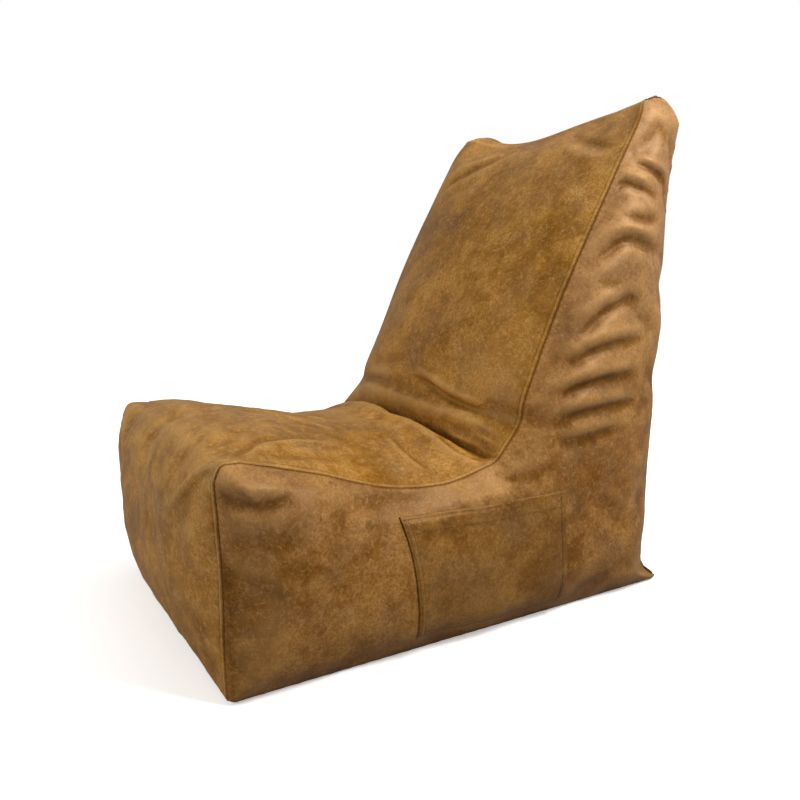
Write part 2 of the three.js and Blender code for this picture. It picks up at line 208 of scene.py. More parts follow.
def coonsPatch(u, v):
    # the side panel flattened into (y, z): u from the seat and back seam (0) to the base and rear seam (1),
    # v from front to top
    m, length = ring["mark"], ring["length"]
    noseMid, earMid = m["nose"] + 0.022, (m["brow"] + m["top"]) / 2 + 0.02
    creaseShare = (m["back"] - noseMid) / (earMid - noseMid)
    k = v / creaseShare
    over = (v - creaseShare) / (1 - creaseShare)
    topLine = np.where(v < creaseShare, mix(noseMid, m["back"], k), mix(m["back"], earMid, over))
    foot = length + m["front"]
    lowLine = np.where(v < creaseShare, mix(foot, m["footRear"], k), mix(m["footRear"], m["rear"], over))
    frontLine = mix(noseMid, m["front"], u)
    earLine = mix(earMid, m["rear"], u)
    top, low = alongRing("place", topLine)[None], alongRing("place", lowLine)[None]
    front, ear = alongRing("place", frontLine)[:, None], alongRing("place", earLine)[:, None]
    uu, vv = u[:, None, None], v[None, :, None]
    corner = [front[:1], front[-1:], ear[:1], ear[-1:]]
    flat = (mix(top, low, uu) + mix(front, ear, vv)
            - mix(mix(corner[0], corner[1], uu), mix(corner[2], corner[3], uu), vv))
    return flat


def seamDistance(flat):
    shape = flat.shape[:2]
    points = flat.reshape(-1, 2)
    outline = ring["place"][::3]
    found = np.empty(len(points))
    for i in range(0, len(points), 2000):
        part = points[i:i + 2000]
        found[i:i + 2000] = np.sqrt(((part[:, None] - outline[None]) ** 2).sum(2).min(1))
    return found.reshape(shape)


def sideSurface(u, v, side):
    flat = coonsPatch(u, v)
    away = seamDistance(flat)
    away[0], away[-1], away[:, 0], away[:, -1] = 0, 0, 0, 0
    width = np.linalg.norm(flat[0] - flat[-1], axis=1)
    reach = mix(0.028, 0.045, u)[:, None]
    swell = bag["sideBulge"] * np.tanh(away / reach) * smoothStep(width / 0.36 + 0.15)[None]
    grid = np.empty(flat.shape[:2] + (3,))
    grid[..., 0] = side * (halfWidthAt(flat[..., 1]) + swell)
    grid[..., 1:] = flat
    return grid


def gridNormals(grid):
    du = np.gradient(grid, axis=0)
    dv = np.gradient(grid, axis=1)
    normal = np.cross(du, dv)
    return normal / np.maximum(np.linalg.norm(normal, axis=2), 1e-12)[..., None]


def makePiece(name, places, faces):
    mesh = bpy.data.meshes.new(name)
    mesh.from_pydata(np.asarray(places).tolist(), [], [list(f) for f in faces])
    mesh.shade_smooth()
    piece = bpy.data.objects.new(name, mesh)
    bpy.context.scene.collection.objects.link(piece)
    return piece


def neighbourSum(grid):
    # the four neighbours of each inner point, added up
    return grid[:-2, 1:-1] + grid[2:, 1:-1] + grid[1:-1, :-2] + grid[1:-1, 2:]


def rubAndShadeOf(grid, normal):
    # how far each place stands over (+) or under (-) the leather around it,
    # for the rubbed colour on what stands over and the painted shade in what lies under
    around = grid.copy()
    for turn in range(14):
        around[1:-1, 1:-1] = 0.25 * neighbourSum(around)
    return np.clip(((grid - around) * normal).sum(2) / 0.0022, -1, 1)


def closedSheet(name, grid, thickness, outward, hide=0.0, shade=0.0):
    # a solid sheet from a grid of points: the grid is its outside, outward is +1 or -1 for the way
    # the grid is wound, and shade darkens the places beside its seams
    rows, cols = grid.shape[:2]
    normal = gridNormals(grid) * outward
    inner = grid - normal * thickness
    places = np.concatenate([grid.reshape(-1, 3), inner.reshape(-1, 3)])
    index = np.arange(rows * cols).reshape(rows, cols)
    a, b = index[:-1, :-1].ravel(), index[1:, :-1].ravel()
    c, d = index[1:, 1:].ravel(), index[:-1, 1:].ravel()
    back = rows * cols
    loop = np.concatenate([index[0, :], index[1:, -1], index[-1, -2::-1], index[-2:0:-1, 0]])
    after = np.roll(loop, -1)
    outer = np.stack([a, b, c, d], 1)
    faces = np.concatenate([outer, outer[:, ::-1] + back,
                            np.stack([loop, after, after + back, loop + back], 1)])
    if outward < 0:
        faces = faces[:, ::-1]
    piece = makePiece(name, places, faces)
    for key, values in (("rubAndShade", np.tile((rubAndShadeOf(grid, normal) + shade).ravel(), 2)),
                        ("hide", np.full(len(places), hide))):
        held = piece.data.attributes.new(key, "FLOAT", "POINT")
        held.data.foreach_set("value", values.astype(np.float32))
    return piece


def cubicWeights(count, at):
    # rows that turn values on a line of count points into values at the places at, smoothly
    at = np.clip(at, 0, count - 1)
    i = np.clip(at.astype(int), 0, count - 2)
    t = at - i
    shares = [-0.5 * t + t ** 2 - 0.5 * t ** 3, 1 - 2.5 * t ** 2 + 1.5 * t ** 3,
              0.5 * t + 2 * t ** 2 - 1.5 * t ** 3, -0.5 * t ** 2 + 0.5 * t ** 3]
    made = np.zeros((len(at), count))
    for step, share in zip((-1, 0, 1, 2), shares):
        np.add.at(made, (np.arange(len(at)), np.clip(i + step, 0, count - 1)), share)
    return made


def resampled(values, rowsAt, colsAt):
    # a coarse grid of vectors read at fine places, both given from 0 to 1
    across = cubicWeights(values.shape[1], colsAt * (values.shape[1] - 1))
    down = cubicWeights(values.shape[0], rowsAt * (values.shape[0] - 1))
    return np.einsum("ri,ijc,kj->rkc", down, values, across)


panelSpans = {
    "seatFront": ("front", "back"), "backrest": ("back", "top"), "rearUpper": ("top", "zip"),
    "rearLower": ("zip", "footRear"), "base": ("footRear", "end"),
}


def spanOf(panel):
    first, last = panelSpans[panel]
    return ring["mark"][first], ring["length"] if last == "end" else ring["mark"][last]


filling = {
    "cell": 0.0135,        # size of the simulated weave
    "pressure": 3.0,
    "extraCloth": 0.022,   # the panels are cut this much larger than the space they cover
    "bending": 1.2,
    "frames": 20,
    "furthest": 0.018,
    "sideShare": 0.85,     # the sides are held a little by the bag inside
    "calmed": {"seatFront": 3, "backrest": 7, "rearUpper": 3, "sideLeft": 3, "sideRight": 3},
}


def simulateCover():
    # fills the bag: every panel is held along its seams and blown out against its own spare cloth
    patches, places, faces, held = {}, [], [], []
    total = 0
    for name in ("seatFront", "backrest", "rearUpper", "sideLeft", "sideRight"):
        if name in panelSpans:
            first, last = spanOf(name)
            rows, cols = int((last - first) / filling["cell"]), int(2 * bag["seamHalf"] / filling["cell"])
            grid = stripSurface(np.linspace(first, last, rows), np.linspace(-1, 1, cols))
            flip = True
        else:
            rows, cols = 27, 112
            side = 1 if name == "sideLeft" else -1
            grid = sideSurface(np.linspace(0, 1, rows), np.linspace(0, 1, cols), side)
            flip = side < 0
        index = np.arange(rows * cols).reshape(rows, cols) + total
        quads = np.stack([index[:-1, :-1], index[1:, :-1], index[1:, 1:], index[:-1, 1:]], 2).reshape(-1, 4)
        pinned = np.zeros((rows, cols), bool)
        pinned[[0, -1]] = True
        pinned[:, [0, -1]] = True
        pinned |= grid[..., 2] < 0.012
        if name == "rearUpper":
            pinned |= (grid[..., 2] < bag["zipHeight"] + bag["zipBand"] + 0.012) & (grid[..., 1] > 0)
        patches[name] = (total, rows, cols)
        places.append(grid.reshape(-1, 3))
        faces.append(quads[:, ::-1] if flip else quads)
        held.append(index[pinned])
        total += rows * cols
    start = np.concatenate(places)
    mesh = bpy.data.meshes.new("coverCage")
    mesh.from_pydata(start.tolist(), [], np.concatenate(faces).tolist())
    cage = bpy.data.objects.new("coverCage", mesh)
    bpy.context.scene.collection.objects.link(cage)
    group = cage.vertex_groups.new(name="seams")
    group.add(np.concatenate(held).tolist(), 1.0, "REPLACE")
    cloth = cage.modifiers.new("fill", "CLOTH")
    cloth.settings.quality = 5
    cloth.settings.mass = 0.3
    cloth.settings.tension_stiffness = 25
    cloth.settings.compression_stiffness = 25
    cloth.settings.shear_stiffness = 10
    cloth.settings.bending_stiffness = filling["bending"]
    cloth.settings.use_pressure = True
    cloth.settings.uniform_pressure_force = filling["pressure"]
    cloth.settings.effector_weights.gravity = 0
    cloth.settings.shrink_min = -filling["extraCloth"]
    cloth.settings.vertex_group_mass = "seams"
    cloth.point_cache.frame_start, cloth.point_cache.frame_end = 1, filling["frames"]
    scene = bpy.context.scene
    for step in range(1, filling["frames"] + 1):
        scene.frame_set(step)
    ready = cage.evaluated_get(bpy.context.evaluated_depsgraph_get())
    ended = np.empty(total * 3, np.float32)
    ready.data.vertices.foreach_get("co", ended)
    ended = ended.reshape(-1, 3).astype(float)
    scene.frame_set(1)
    moved = ended - start
    length = np.linalg.norm(moved, axis=1)
    print("cover filled: furthest %.1f mm, mean %.1f mm" % (length.max() * 1000, length.mean() * 1000))
    capped = filling["furthest"] * np.tanh(length / filling["furthest"])
    moved *= (capped / np.maximum(length, 1e-9))[:, None]
    bpy.data.objects.remove(cage)
    filled = {name: moved[at:at + rows * cols].reshape(rows, cols, 3)
              for name, (at, rows, cols) in patches.items()}
    for name, turns in filling["calmed"].items():       # thick hide doesn't take the smallest creases
        for turn in range(turns):
            grid = filled[name]
            grid[1:-1, 1:-1] = 0.5 * grid[1:-1, 1:-1] + 0.125 * neighbourSum(grid)
    return filled


settled = simulateCover()


# how the filled bag has slumped from its cut shape: where, how far it reaches each way, and the shift
slumps = [
    ((-0.10, -0.48, 0.09), (0.26, 0.16, 0.14), (0.0, -0.016, 0.0)),     # the front swells out over its foot
    ((-0.30, -0.50, 0.27), (0.22, 0.20, 0.12), (-0.005, -0.010, 0.0)),
    ((0.30, -0.48, 0.05), (0.20, 0.15, 0.15), (0.0, -0.009, 0.0)),
    ((-0.20, -0.30, 0.38), (0.32, 0.16, 0.20), (0.0, 0.0, -0.011)),     # the seat is trodden down in front
    ((-0.20, -0.02, 0.36), (0.26, 0.12, 0.12), (0.0, 0.0, 0.015)),
    ((-0.31, 0.12, 0.52), (0.12, 0.22, 0.17), (0.013, 0.004, 0.0)),
    ((-0.07, 0.41, 0.98), (0.15, 0.14, 0.07), (0.0, -0.004, -0.019)),   # the top dips between its ears
    ((-0.27, 0.41, 0.98), (0.07, 0.14, 0.07), (0.0, 0.0, 0.014)),       # each ear is a rounded lobe
    ((-0.32, 0.41, 0.99), (0.06, 0.14, 0.034), (0.024, 0.0, -0.004)),
    ((0.32, 0.41, 0.99), (0.05, 0.14, 0.028), (-0.012, 0.0, 0.003)),
    ((0.34, 0.465, 0.965), (0.10, 0.035, 0.04), (0.0, 0.004, 0.007)),
    # the rear edge is nipped in where folds meet it
    ((0.34, 0.47, 0.635), (0.10, 0.12, 0.028), (-0.002, -0.008, 0.0)),
    ((0.34, 0.47, 0.450), (0.10, 0.12, 0.040), (-0.003, -0.008, 0.0)),
    ((-0.34, 0.47, 0.560), (0.10, 0.12, 0.035), (0.003, -0.008, 0.0)),
    ((-0.34, 0.47, 0.760), (0.10, 0.12, 0.028), (0.003, -0.006, 0.0)),
    ((-0.34, 0.465, 0.965), (0.10, 0.035, 0.04), (0.0, 0.002, 0.006)),
]


creaseTuck = {"depth": 0.017, "reach": 0.021}      # the seam between seat and back is pulled into the filling


def tucked(places):
    t = np.clip(places[..., 0] / halfWidthAt(bag["creaseHeight"]), -1, 1)
    mark = np.array([ring["mark"]["back"]])
    line, lift = alongRing("place", mark)[0], alongRing("lift", mark)[0]
    centre = line + lift * (1 - np.abs(t) ** 2.4)[..., None]
    away = np.linalg.norm(places[..., 1:] - centre, axis=-1)
    inside = smoothStep((1 - np.abs(t)) / 0.16)
    pull = creaseTuck["depth"] * np.exp(-(away / creaseTuck["reach"]) ** 2) * inside
    inward = -lift / np.linalg.norm(lift)
    moved = places.copy()
    moved[..., 1:] += pull[..., None] * inward
    return moved


def slumped(places):
    places = tucked(places)
    moved = np.zeros_like(places)
    for centre, reach, shift in slumps:
        away = (places - np.array(centre)) / np.array(reach)
        moved += np.exp(-(away ** 2).sum(-1))[..., None] * np.array(shift)
    moved[..., 2] *= smoothStep(places[..., 2] / 0.05)
    nearZip = smoothStep((places[..., 1] - 0.30) / 0.06) * smoothStep((0.17 - places[..., 2]) / 0.06)
    return places + moved * (1 - nearZip)[..., None]


# lasting folds in the leather: (line, half width, depth, how high the roll beside it stands
# as a share of the depth).
# Side panels are measured in (y, z), strip panels in (x, distance along from the panel's first seam).
folds = {
    "sideLeft": [
        ([(0.215, 0.655), (0.258, 0.694), (0.300, 0.717), (0.348, 0.708), (0.410, 0.694)], 0.014, 0.0090, 0.8),
        ([(0.283, 0.798), (0.312, 0.824), (0.340, 0.815), (0.385, 0.798)], 0.011, 0.0070, 0.7),
        ([(0.190, 0.538), (0.225, 0.568), (0.269, 0.592), (0.350, 0.618)], 0.014, 0.0090, 0.8),
        ([(0.155, 0.484), (0.209, 0.508), (0.278, 0.524), (0.365, 0.533)], 0.013, 0.0080, 0.8),
        ([(0.128, 0.426), (0.187, 0.448), (0.252, 0.458), (0.360, 0.470)], 0.012, 0.0085, 0.8),
        ([(0.125, 0.381), (0.186, 0.398), (0.271, 0.405), (0.350, 0.410)], 0.012, 0.0075, 0.7),
        ([(0.140, 0.342), (0.210, 0.353), (0.300, 0.361)], 0.011, 0.0045, 0.6),
        ([(0.335, 0.868), (0.385, 0.846), (0.440, 0.832)], 0.009, 0.0060, 0.7),
        ([(0.290, 0.760), (0.345, 0.755), (0.405, 0.762)], 0.012, 0.0045, 0.6),
        ([(-0.500, 0.345), (-0.459, 0.324), (-0.420, 0.318), (-0.360, 0.325)], 0.014, 0.0060, 0.8),
        ([(-0.480, 0.250), (-0.420, 0.262), (-0.360, 0.250)], 0.020, 0.0035, 0.5),
        ([(-0.300, 0.300), (-0.200, 0.285), (-0.090, 0.282)], 0.018, 0.0040, 0.5),
        ([(-0.020, 0.300), (0.060, 0.292), (0.130, 0.300)], 0.014, 0.0040, 0.5),
        ([(0.200, 0.245), (0.270, 0.205), (0.330, 0.150)], 0.020, 0.0040, 0.5),
    ],
    "sideRight": [
        ([(0.215, 0.690), (0.290, 0.712), (0.375, 0.700)], 0.013, 0.0080, 0.7),
        ([(0.230, 0.590), (0.310, 0.600), (0.395, 0.625)], 0.013, 0.0070, 0.7),
        ([(0.160, 0.455), (0.260, 0.480), (0.360, 0.500)], 0.012, 0.0080, 0.7),
        ([(0.180, 0.380), (0.270, 0.395), (0.390, 0.410)], 0.014, 0.0070, 0.7),
        ([(0.310, 0.835), (0.370, 0.818), (0.430, 0.825)], 0.011, 0.0060, 0.7),
        ([(-0.490, 0.335), (-0.440, 0.312), (-0.370, 0.315)], 0.014, 0.0060, 0.8),
        ([(-0.260, 0.270), (-0.140, 0.255), (-0.010, 0.265)], 0.020, 0.0045, 0.5),
        ([(-0.100, 0.150), (0.030, 0.120), (0.180, 0.140)], 0.024, 0.0040, 0.5),
    ],
    "backrest": [
        ([(0.010, 0.114), (0.064, 0.104), (0.161, 0.082), (0.262, 0.075)], 0.0095, 0.0105, 0.8),
        ([(-0.290, 0.045), (-0.100, 0.046), (0.100, 0.046), (0.280, 0.050)], 0.020, -0.0085, 0.0),
        ([(0.318, 0.012), (0.235, 0.022), (0.150, 0.020)], 0.006, 0.0060, 0.6),
        ([(0.315, 0.030), (0.255, 0.036), (0.190, 0.030), (0.120, 0.036)], 0.008, 0.0050, 0.7),
        ([(-0.280, 0.070), (-0.170, 0.080), (-0.060, 0.072)], 0.013, 0.0050, 0.6),
        ([(-0.240, 0.120), (-0.120, 0.135), (-0.010, 0.150)], 0.018, 0.0035, 0.5),
        ([(-0.285, 0.600), (-0.180, 0.640), (-0.060, 0.690)], 0.016, 0.0060, 0.8),
        ([(0.300, 0.640), (0.230, 0.655), (0.140, 0.690)], 0.014, 0.0040, 0.6),
        ([(-0.260, 0.560), (-0.180, 0.575), (-0.090, 0.610)], 0.016, 0.0030, 0.6),
        ([(0.240, 0.250), (0.270, 0.330), (0.262, 0.430)], 0.016, 0.0025, 0.5),
    ],
    "seatFront": [
        ([(0.318, 0.392), (0.275, 0.352), (0.170, 0.276)], 0.0065, -0.0060, 0.6),
        ([(0.305, 0.330), (0.250, 0.300), (0.180, 0.240)], 0.018, 0.0035, 0.5),
        ([(0.310, 0.412), (0.270, 0.450), (0.225, 0.530), (0.200, 0.610)], 0.008, -0.0045, 0.7),
        ([(-0.300, 0.380), (-0.250, 0.330), (-0.150, 0.270)], 0.015, 0.0055, 0.8),
        ([(0.295, 0.440), (0.285, 0.500), (0.262, 0.600)], 0.012, 0.0040, 0.6),
        ([(-0.020, 0.490), (0.051, 0.580), (0.180, 0.648)], 0.015, 0.0040, 0.7),
        ([(-0.130, 0.540), (-0.060, 0.620), (0.060, 0.690)], 0.014, 0.0040, 0.6),
        ([(-0.290, 0.480), (-0.220, 0.520), (-0.130, 0.600)], 0.016, 0.0045, 0.6),
        ([(0.120, 0.400), (0.040, 0.440), (-0.060, 0.450)], 0.018, 0.0030, 0.5),
        ([(0.290, 0.790), (0.210, 0.770), (0.110, 0.790)], 0.010, 0.0045, 0.6),
        ([(0.312, 0.893), (0.240, 0.866), (0.160, 0.880)], 0.008, 0.0065, 0.5),
        ([(-0.290, 0.868), (-0.100, 0.862), (0.100, 0.862), (0.280, 0.850)], 0.020, -0.0050, 0.0),
        ([(0.120, 0.120), (0.000, 0.160), (-0.140, 0.150)], 0.024, 0.0030, 0.5),
    ],
    "rearUpper": [
        ([(-0.250, 0.120), (-0.060, 0.140), (0.180, 0.118)], 0.022, 0.0050, 0.6),
        ([(-0.150, 0.300), (0.040, 0.325), (0.250, 0.300)], 0.026, 0.0050, 0.6),
        ([(-0.270, 0.520), (-0.100, 0.500), (0.100, 0.520)], 0.026, 0.0055, 0.6),
        ([(-0.200, 0.700), (0.000, 0.720), (0.240, 0.690)], 0.022, 0.0060, 0.7),
        ([(-0.280, 0.780), (-0.120, 0.770), (0.060, 0.785)], 0.014, 0.0045, 0.6),
    ],
}


def foldHeight(flat, strokes):
    # how far each place of a panel sinks or rises beside its folds
    points = flat.reshape(-1, 2)
    height = np.zeros(len(points))
    for line, width, depth, roll in strokes:
        path = splinePoint(line, np.linspace(0, 1, 70))
        way = np.gradient(path, axis=0)
        way /= np.linalg.norm(way, axis=1)[:, None]
        offset = points[:, None] - path[None]
        nearest = (offset ** 2).sum(2).argmin(1)
        near = offset[np.arange(len(points)), nearest]
        off = way[nearest, 0] * near[:, 1] - way[nearest, 1] * near[:, 0]
        gone = np.linalg.norm(near, axis=1)
        share = nearest / (len(path) - 1)
        taper = smoothStep(share / 0.35) * smoothStep((1 - share) / 0.35) * np.exp(-(gone / (4 * width)) ** 2)
        height += taper * depth * (roll * np.exp(-((off - 1.7 * width) / (1.2 * width)) ** 2)
                                   - np.exp(-(off / width) ** 2))
    return height.reshape(flat.shape[:2])


# (height, size) of the hide's soft unevenness
crumple = {"seatFront": (0.0026, 0.075), "backrest": (0.0013, 0.11), "rearUpper": (0.0022, 0.12),
           "sideLeft": (0.0020, 0.09), "sideRight": (0.0022, 0.09)}


def crumpled(panel, grid, hold):
    # adds the small uneven swells of a filled leather bag along each place's normal
    height, size = crumple[panel]
    seedAt = Vector((3.7 * len(panel), 1.3 * len(panel), 0))
    rise = np.array([noise.multi_fractal(Vector(p) / size + seedAt, 0.9, 2.1, 3) - 1
                     for p in grid.reshape(-1, 3)])
    return np.clip(rise, -1.6, 1.6).reshape(grid.shape[:2]) * height * hold


def gradedLine(length, spacing):
    # places from 0 to length, close together beside both ends where the seams are
    edge = np.array([0.00015, 0.0012, 0.0026, 0.0042, 0.006, 0.0073, 0.0084, 0.0095, 0.011, 0.0135, 0.017])
    count = max(2, int(round((length - 2 * edge[-1]) / spacing)))
    middle = np.linspace(edge[-1], length - edge[-1], count + 1)[1:-1]
    return np.concatenate([edge, middle, (length - edge)[::-1]])


def shapeStrip(panel):
    first, last = spanOf(panel)
    s = first + gradedLine(last - first, bag["spacing"])
    width = 2 * bag["seamHalf"]
    t = gradedLine(width, bag["spacing"]) / width * 2 - 1
    grid = stripSurface(s, t)
    if panel in settled:
        grid += resampled(settled[panel], (s - first) / (last - first), (t + 1) / 2)
    if panel in ("rearUpper", "rearLower"):
        way, away = (1, last - s) if panel == "rearUpper" else (-1, s - first)
        gap = bag["slotHalf"] * smoothStep((bag["slotEnd"] + 0.008 - np.abs(grid[..., 0])) / 0.008)
        grid[..., 2] += way * gap * np.clip(1 - away / 0.02, 0, 1)[:, None]
    flat = np.stack(np.broadcast_arrays(t[None] * width / 2, (s - first)[:, None]), 2)
    if panel in folds:
        hold = panelHold(s, t, last - first)
        sunk = foldHeight(flat, folds[panel]) * hold + crumpled(panel, grid, hold)
        grid -= gridNormals(grid) * sunk[..., None]
    return slumped(grid), s - first, (t + 1) / 2 * width


def panelHold(s, t, span):
    # folds die out where a seam holds the leather
    first = s[0]
    ends = smoothStep((s - first + 0.004) / 0.02) * smoothStep((first + span - s) / 0.02)
    sides = smoothStep((1 - np.abs(t)) * bag["seamHalf"] / 0.016)
    return ends[:, None] * sides[None]


def shapeSide(panel):
    side = 1 if panel == "sideLeft" else -1
    across = gradedLine(0.36, bag["spacing"] * 0.8) / 0.36
    down = gradedLine(1.5, bag["spacing"]) / 1.5
    grid = sideSurface(across, down, side)
    fromSeam = seamDistance(grid[..., 1:])
    flat = grid[..., 1:].copy()
    grid += filling["sideShare"] * resampled(settled[panel], across, down)
    hold = smoothStep(fromSeam / 0.016)
    sunk = foldHeight(flat, folds[panel]) * hold + crumpled(panel, grid, hold)
    grid += gridNormals(grid) * side * sunk[..., None]
    return slumped(grid), fromSeam


sewing = {
    "pitch": 0.0042,          # from one stitch to the next
    "length": 0.0031,
    "thick": 0.00085,
}
stitchRows = []               # (points, outward directions) of each sewn row


def addRow(points, normals, lift=0.0):
    stitchRows.append((points + normals * lift, normals))


shaped = {}                   # every panel's finished grid


def makeCover():
    pieces = {}
    names = {"seatFront": "seat_front_panel", "backrest": "backrest_panel", "rearUpper": "rear_panel_upper",
             "rearLower": "rear_panel_lower", "base": "base_panel"}
    for panel, node in names.items():
        grid, along, across = shapeStrip(panel)
        width = across[-1] + across[0]
        fromSide = np.minimum(across, width - across)[None, :]
        span = spanOf(panel)[1] - spanOf(panel)[0]
        ends = [along[:, None], span - along[:, None]]
        normal = -gridNormals(grid)
        edge = "plain" if panel == "base" else "sewn"
        rise, shade = seamRelief(fromSide, edge), seamShade(fromSide, edge)
        for end, edge in zip(ends, panelEnds[panel]):
            rise, shade = rise + seamRelief(end, edge), shade + seamShade(end, edge)
        grid = grid + normal * rise[..., None]
        shaped[panel] = grid
        piece = closedSheet("cover_" + panel, grid, bag["skin"], -1, 3.1 * len(pieces), shade)
        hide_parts(node)
        pieces[panel] = piece
        if panel in ("seatFront", "backrest", "rearUpper", "rearLower"):
            for column in (6, -7):
                addRow(grid[9:-9, column], -gridNormals(grid)[9:-9, column])
    for panel, node, outward in (("sideLeft", "side_panel_left", 1), ("sideRight", "side_panel_right", -1)):
        grid, fromSeam = shapeSide(panel)
        normal = gridNormals(grid) * outward
        grid = grid + normal * seamRelief(fromSeam, "plain")[..., None]
        shaped[panel] = grid
        piece = closedSheet("cover_" + panel, grid, bag["skin"], outward, 3.1 * len(pieces),
                            seamShade(fromSeam, "plain"))
        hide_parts(node)
        pieces[panel] = piece
    return pieces


# what each panel meets at its first and last edge
panelEnds = {"seatFront": ("plain", "crease"), "backrest": ("crease", "sewn"), "rearUpper": ("plain", "zip"),
             "rearLower": ("zip", "plain"), "base": ("plain", "plain")}


def seamRelief(away, edge):
    # how the leather rises beside an edge: a groove at the join, then the turned allowance, then the stitch row
    away = np.asarray(away) * 1000
    if edge == "crease":
        return 0 * away
    if edge == "zip":
        return (0.25 * np.exp(-((away - 1.2) / 1.2) ** 2) - 0.45 * np.exp(-((away - 3.2) / 0.8) ** 2)) / 1000
    rise = -1.8 * np.exp(-(away / 1.6) ** 2)
    if edge == "sewn":
        rise = rise + 0.75 * np.exp(-((away - 4.6) / 2.6) ** 2) - 0.45 * np.exp(-((away - 8.5) / 0.9) ** 2)
        rise = rise + 0.2 * np.exp(-((away - 11.5) / 2.2) ** 2)
    return rise / 1000


def seamShade(away, edge):
    # grime and painted shadow in the join, the needle line, and the rubbed roll between them; only painted
    # shade along the crease
    away = np.asarray(away) * 1000
    shade = -1.9 * np.exp(-(away / 2.0) ** 2)
    # along the crease between seat and back the darkening is painted shade, 9 mm wide
    if edge == "crease":
        shade = -1.0 * np.exp(-(away / 9.0) ** 2)
    if edge == "sewn":
        shade = shade + 0.45 * np.exp(-((away - 4.8) / 1.8) ** 2) - 0.55 * np.exp(-((away - 8.5) / 0.9) ** 2)
    return shade


def sideDepthMap(panel):
    # the x of a side panel at any (y, z), from its finished grid
    places = shaped[panel].reshape(-1, 3)
    tree = kdtree.KDTree(len(places))
    for i, p in enumerate(places):
        tree.insert((p[1], p[2], 0), i)
    tree.balance()

    def depthAt(y, z):
        near = tree.find_n((y, z, 0), 10)
        weights = [1 / (found[2] ** 2 + 4e-6) for found in near]
        return sum(w * places[found[1]][0] for w, found in zip(weights, near)) / sum(weights)
    return depthAt


pocket = {
    "topFront": (-0.191, 0.261), "topRear": (0.152, 0.262),
    "footRear": (0.172, 0.027), "footFront": (-0.160, 0.040),
    "width": 0.34, "height": 0.23, "hem": 0.033, "rows": (0.004, 0.0125),
    "spacing": 0.0042, "skin": 0.0013, "tack": 0.030,
}


def makePocket():
    depthAt = sideDepthMap("sideLeft")
    across = gradedLine(pocket["width"], pocket["spacing"]) / pocket["width"]
    down = gradedLine(pocket["height"], pocket["spacing"]) / pocket["height"]
    across = (across - across[0]) / (across[-1] - across[0])
    down = (down - down[0]) / (down[-1] - down[0])
    a, b = across[None, :, None], down[:, None, None]
    corner = [np.array(pocket[k]) for k in ("topFront", "topRear", "footRear", "footFront")]
    flat = mix(mix(corner[0], corner[1], a), mix(corner[3], corner[2], a), b)
    flat[..., 0] += 0.0035 * np.sin(math.pi * b[..., 0]) * (1 - 2 * a[..., 0])
    flat[..., 1] -= 0.004 * np.sin(math.pi * a[..., 0]) * (1 - b[..., 0]) ** 4
    depth = np.array([[depthAt(y, z) for y, z in row] for row in flat])
    for turn in range(30):                      # the patch lies over the small folds under it
        depth[1:-1, 1:-1] = np.maximum(depth[1:-1, 1:-1], 0.25 * neighbourSum(depth))
    fromSide = np.minimum(across, 1 - across)[None, :] * pocket["width"]
    fromFoot = (1 - down)[:, None] * pocket["height"]
    fromTop = down[:, None] * pocket["height"]
    slack = 0.0052 * np.sin(math.pi * across)[None, :] ** 0.7 * (1 - down)[:, None] ** 1.3
    slack = slack + 0.0016 * smoothStep(fromSide / 0.03) * smoothStep(fromFoot / 0.03)
    rise = 0.0030 + slack
    for row in pocket["rows"]:
        for away in (fromSide, fromFoot):
            rise = rise - 0.0006 * np.exp(-((away - row) / 0.0011) ** 2)
    rise = rise + 0.0007 * np.exp(-((np.minimum(fromSide, fromFoot) - 0.008) / 0.003) ** 2)
    rise = rise - 0.0012 * np.exp(-(np.minimum(fromSide, fromFoot) / 0.0016) ** 2)
    rise = rise + 0.0009 * smoothStep((pocket["hem"] - fromTop) / 0.0035)
    rise = rise - 0.0006 * np.exp(-((fromTop - pocket["hem"] + 0.004) / 0.0011) ** 2)
    rise = rise - 0.0007 * np.exp(-(fromTop / 0.0016) ** 2)
    grid = np.concatenate([(depth + rise)[..., None], flat], 2)
    shaped["pocket"] = grid
    piece = closedSheet("side_pocket_patch", grid, pocket["skin"], 1, 27.0)
    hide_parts("side_pocket")
    normal = gridNormals(grid)

    def rowAt(line):
        # a sewn row through (a, b) places of the patch
        line = np.array(line)
        steps = np.linspace(0, len(line) - 1, 160)
        at = np.stack([np.interp(steps, np.arange(len(line)), line[:, c]) for c in (0, 1)], 1)
        rows = np.interp(at[:, 1], down, np.arange(len(down)))
        cols = np.interp(at[:, 0], across, np.arange(len(across)))
        points = np.array([bilinear(grid, r, c) for r, c in zip(rows, cols)])
        addRow(points, np.array([bilinear(normal, r, c) for r, c in zip(rows, cols)]), 0.00015)

    for row in pocket["rows"]:
        side, foot = row / 0.34, row / 0.23
        rowAt([(side, 0.02), (side, 1 - foot), (1 - side, 1 - foot), (1 - side, 0.02)])
    hem = (pocket["hem"] - 0.004) / 0.23
    rowAt([(0.02, hem), (0.98, hem)])
    tackWide, tackHigh = pocket["tack"] / 0.34, hem
    for start in (0.012, 1 - 0.012 - tackWide):
        low, high = 0.02, tackHigh
        rowAt([(start, low), (start + tackWide, low), (start + tackWide, high)])
        rowAt([(start, low), (start + tackWide, high)])
        rowAt([(start, high), (start + tackWide, low)])
    return piece


def bilinear(grid, r, c):
    i, j = min(int(r), grid.shape[0] - 2), min(int(c), grid.shape[1] - 2)
    y, x = r - i, c - j
    return mix(mix(grid[i, j], grid[i, j + 1], x), mix(grid[i + 1, j], grid[i + 1, j + 1], x), y)


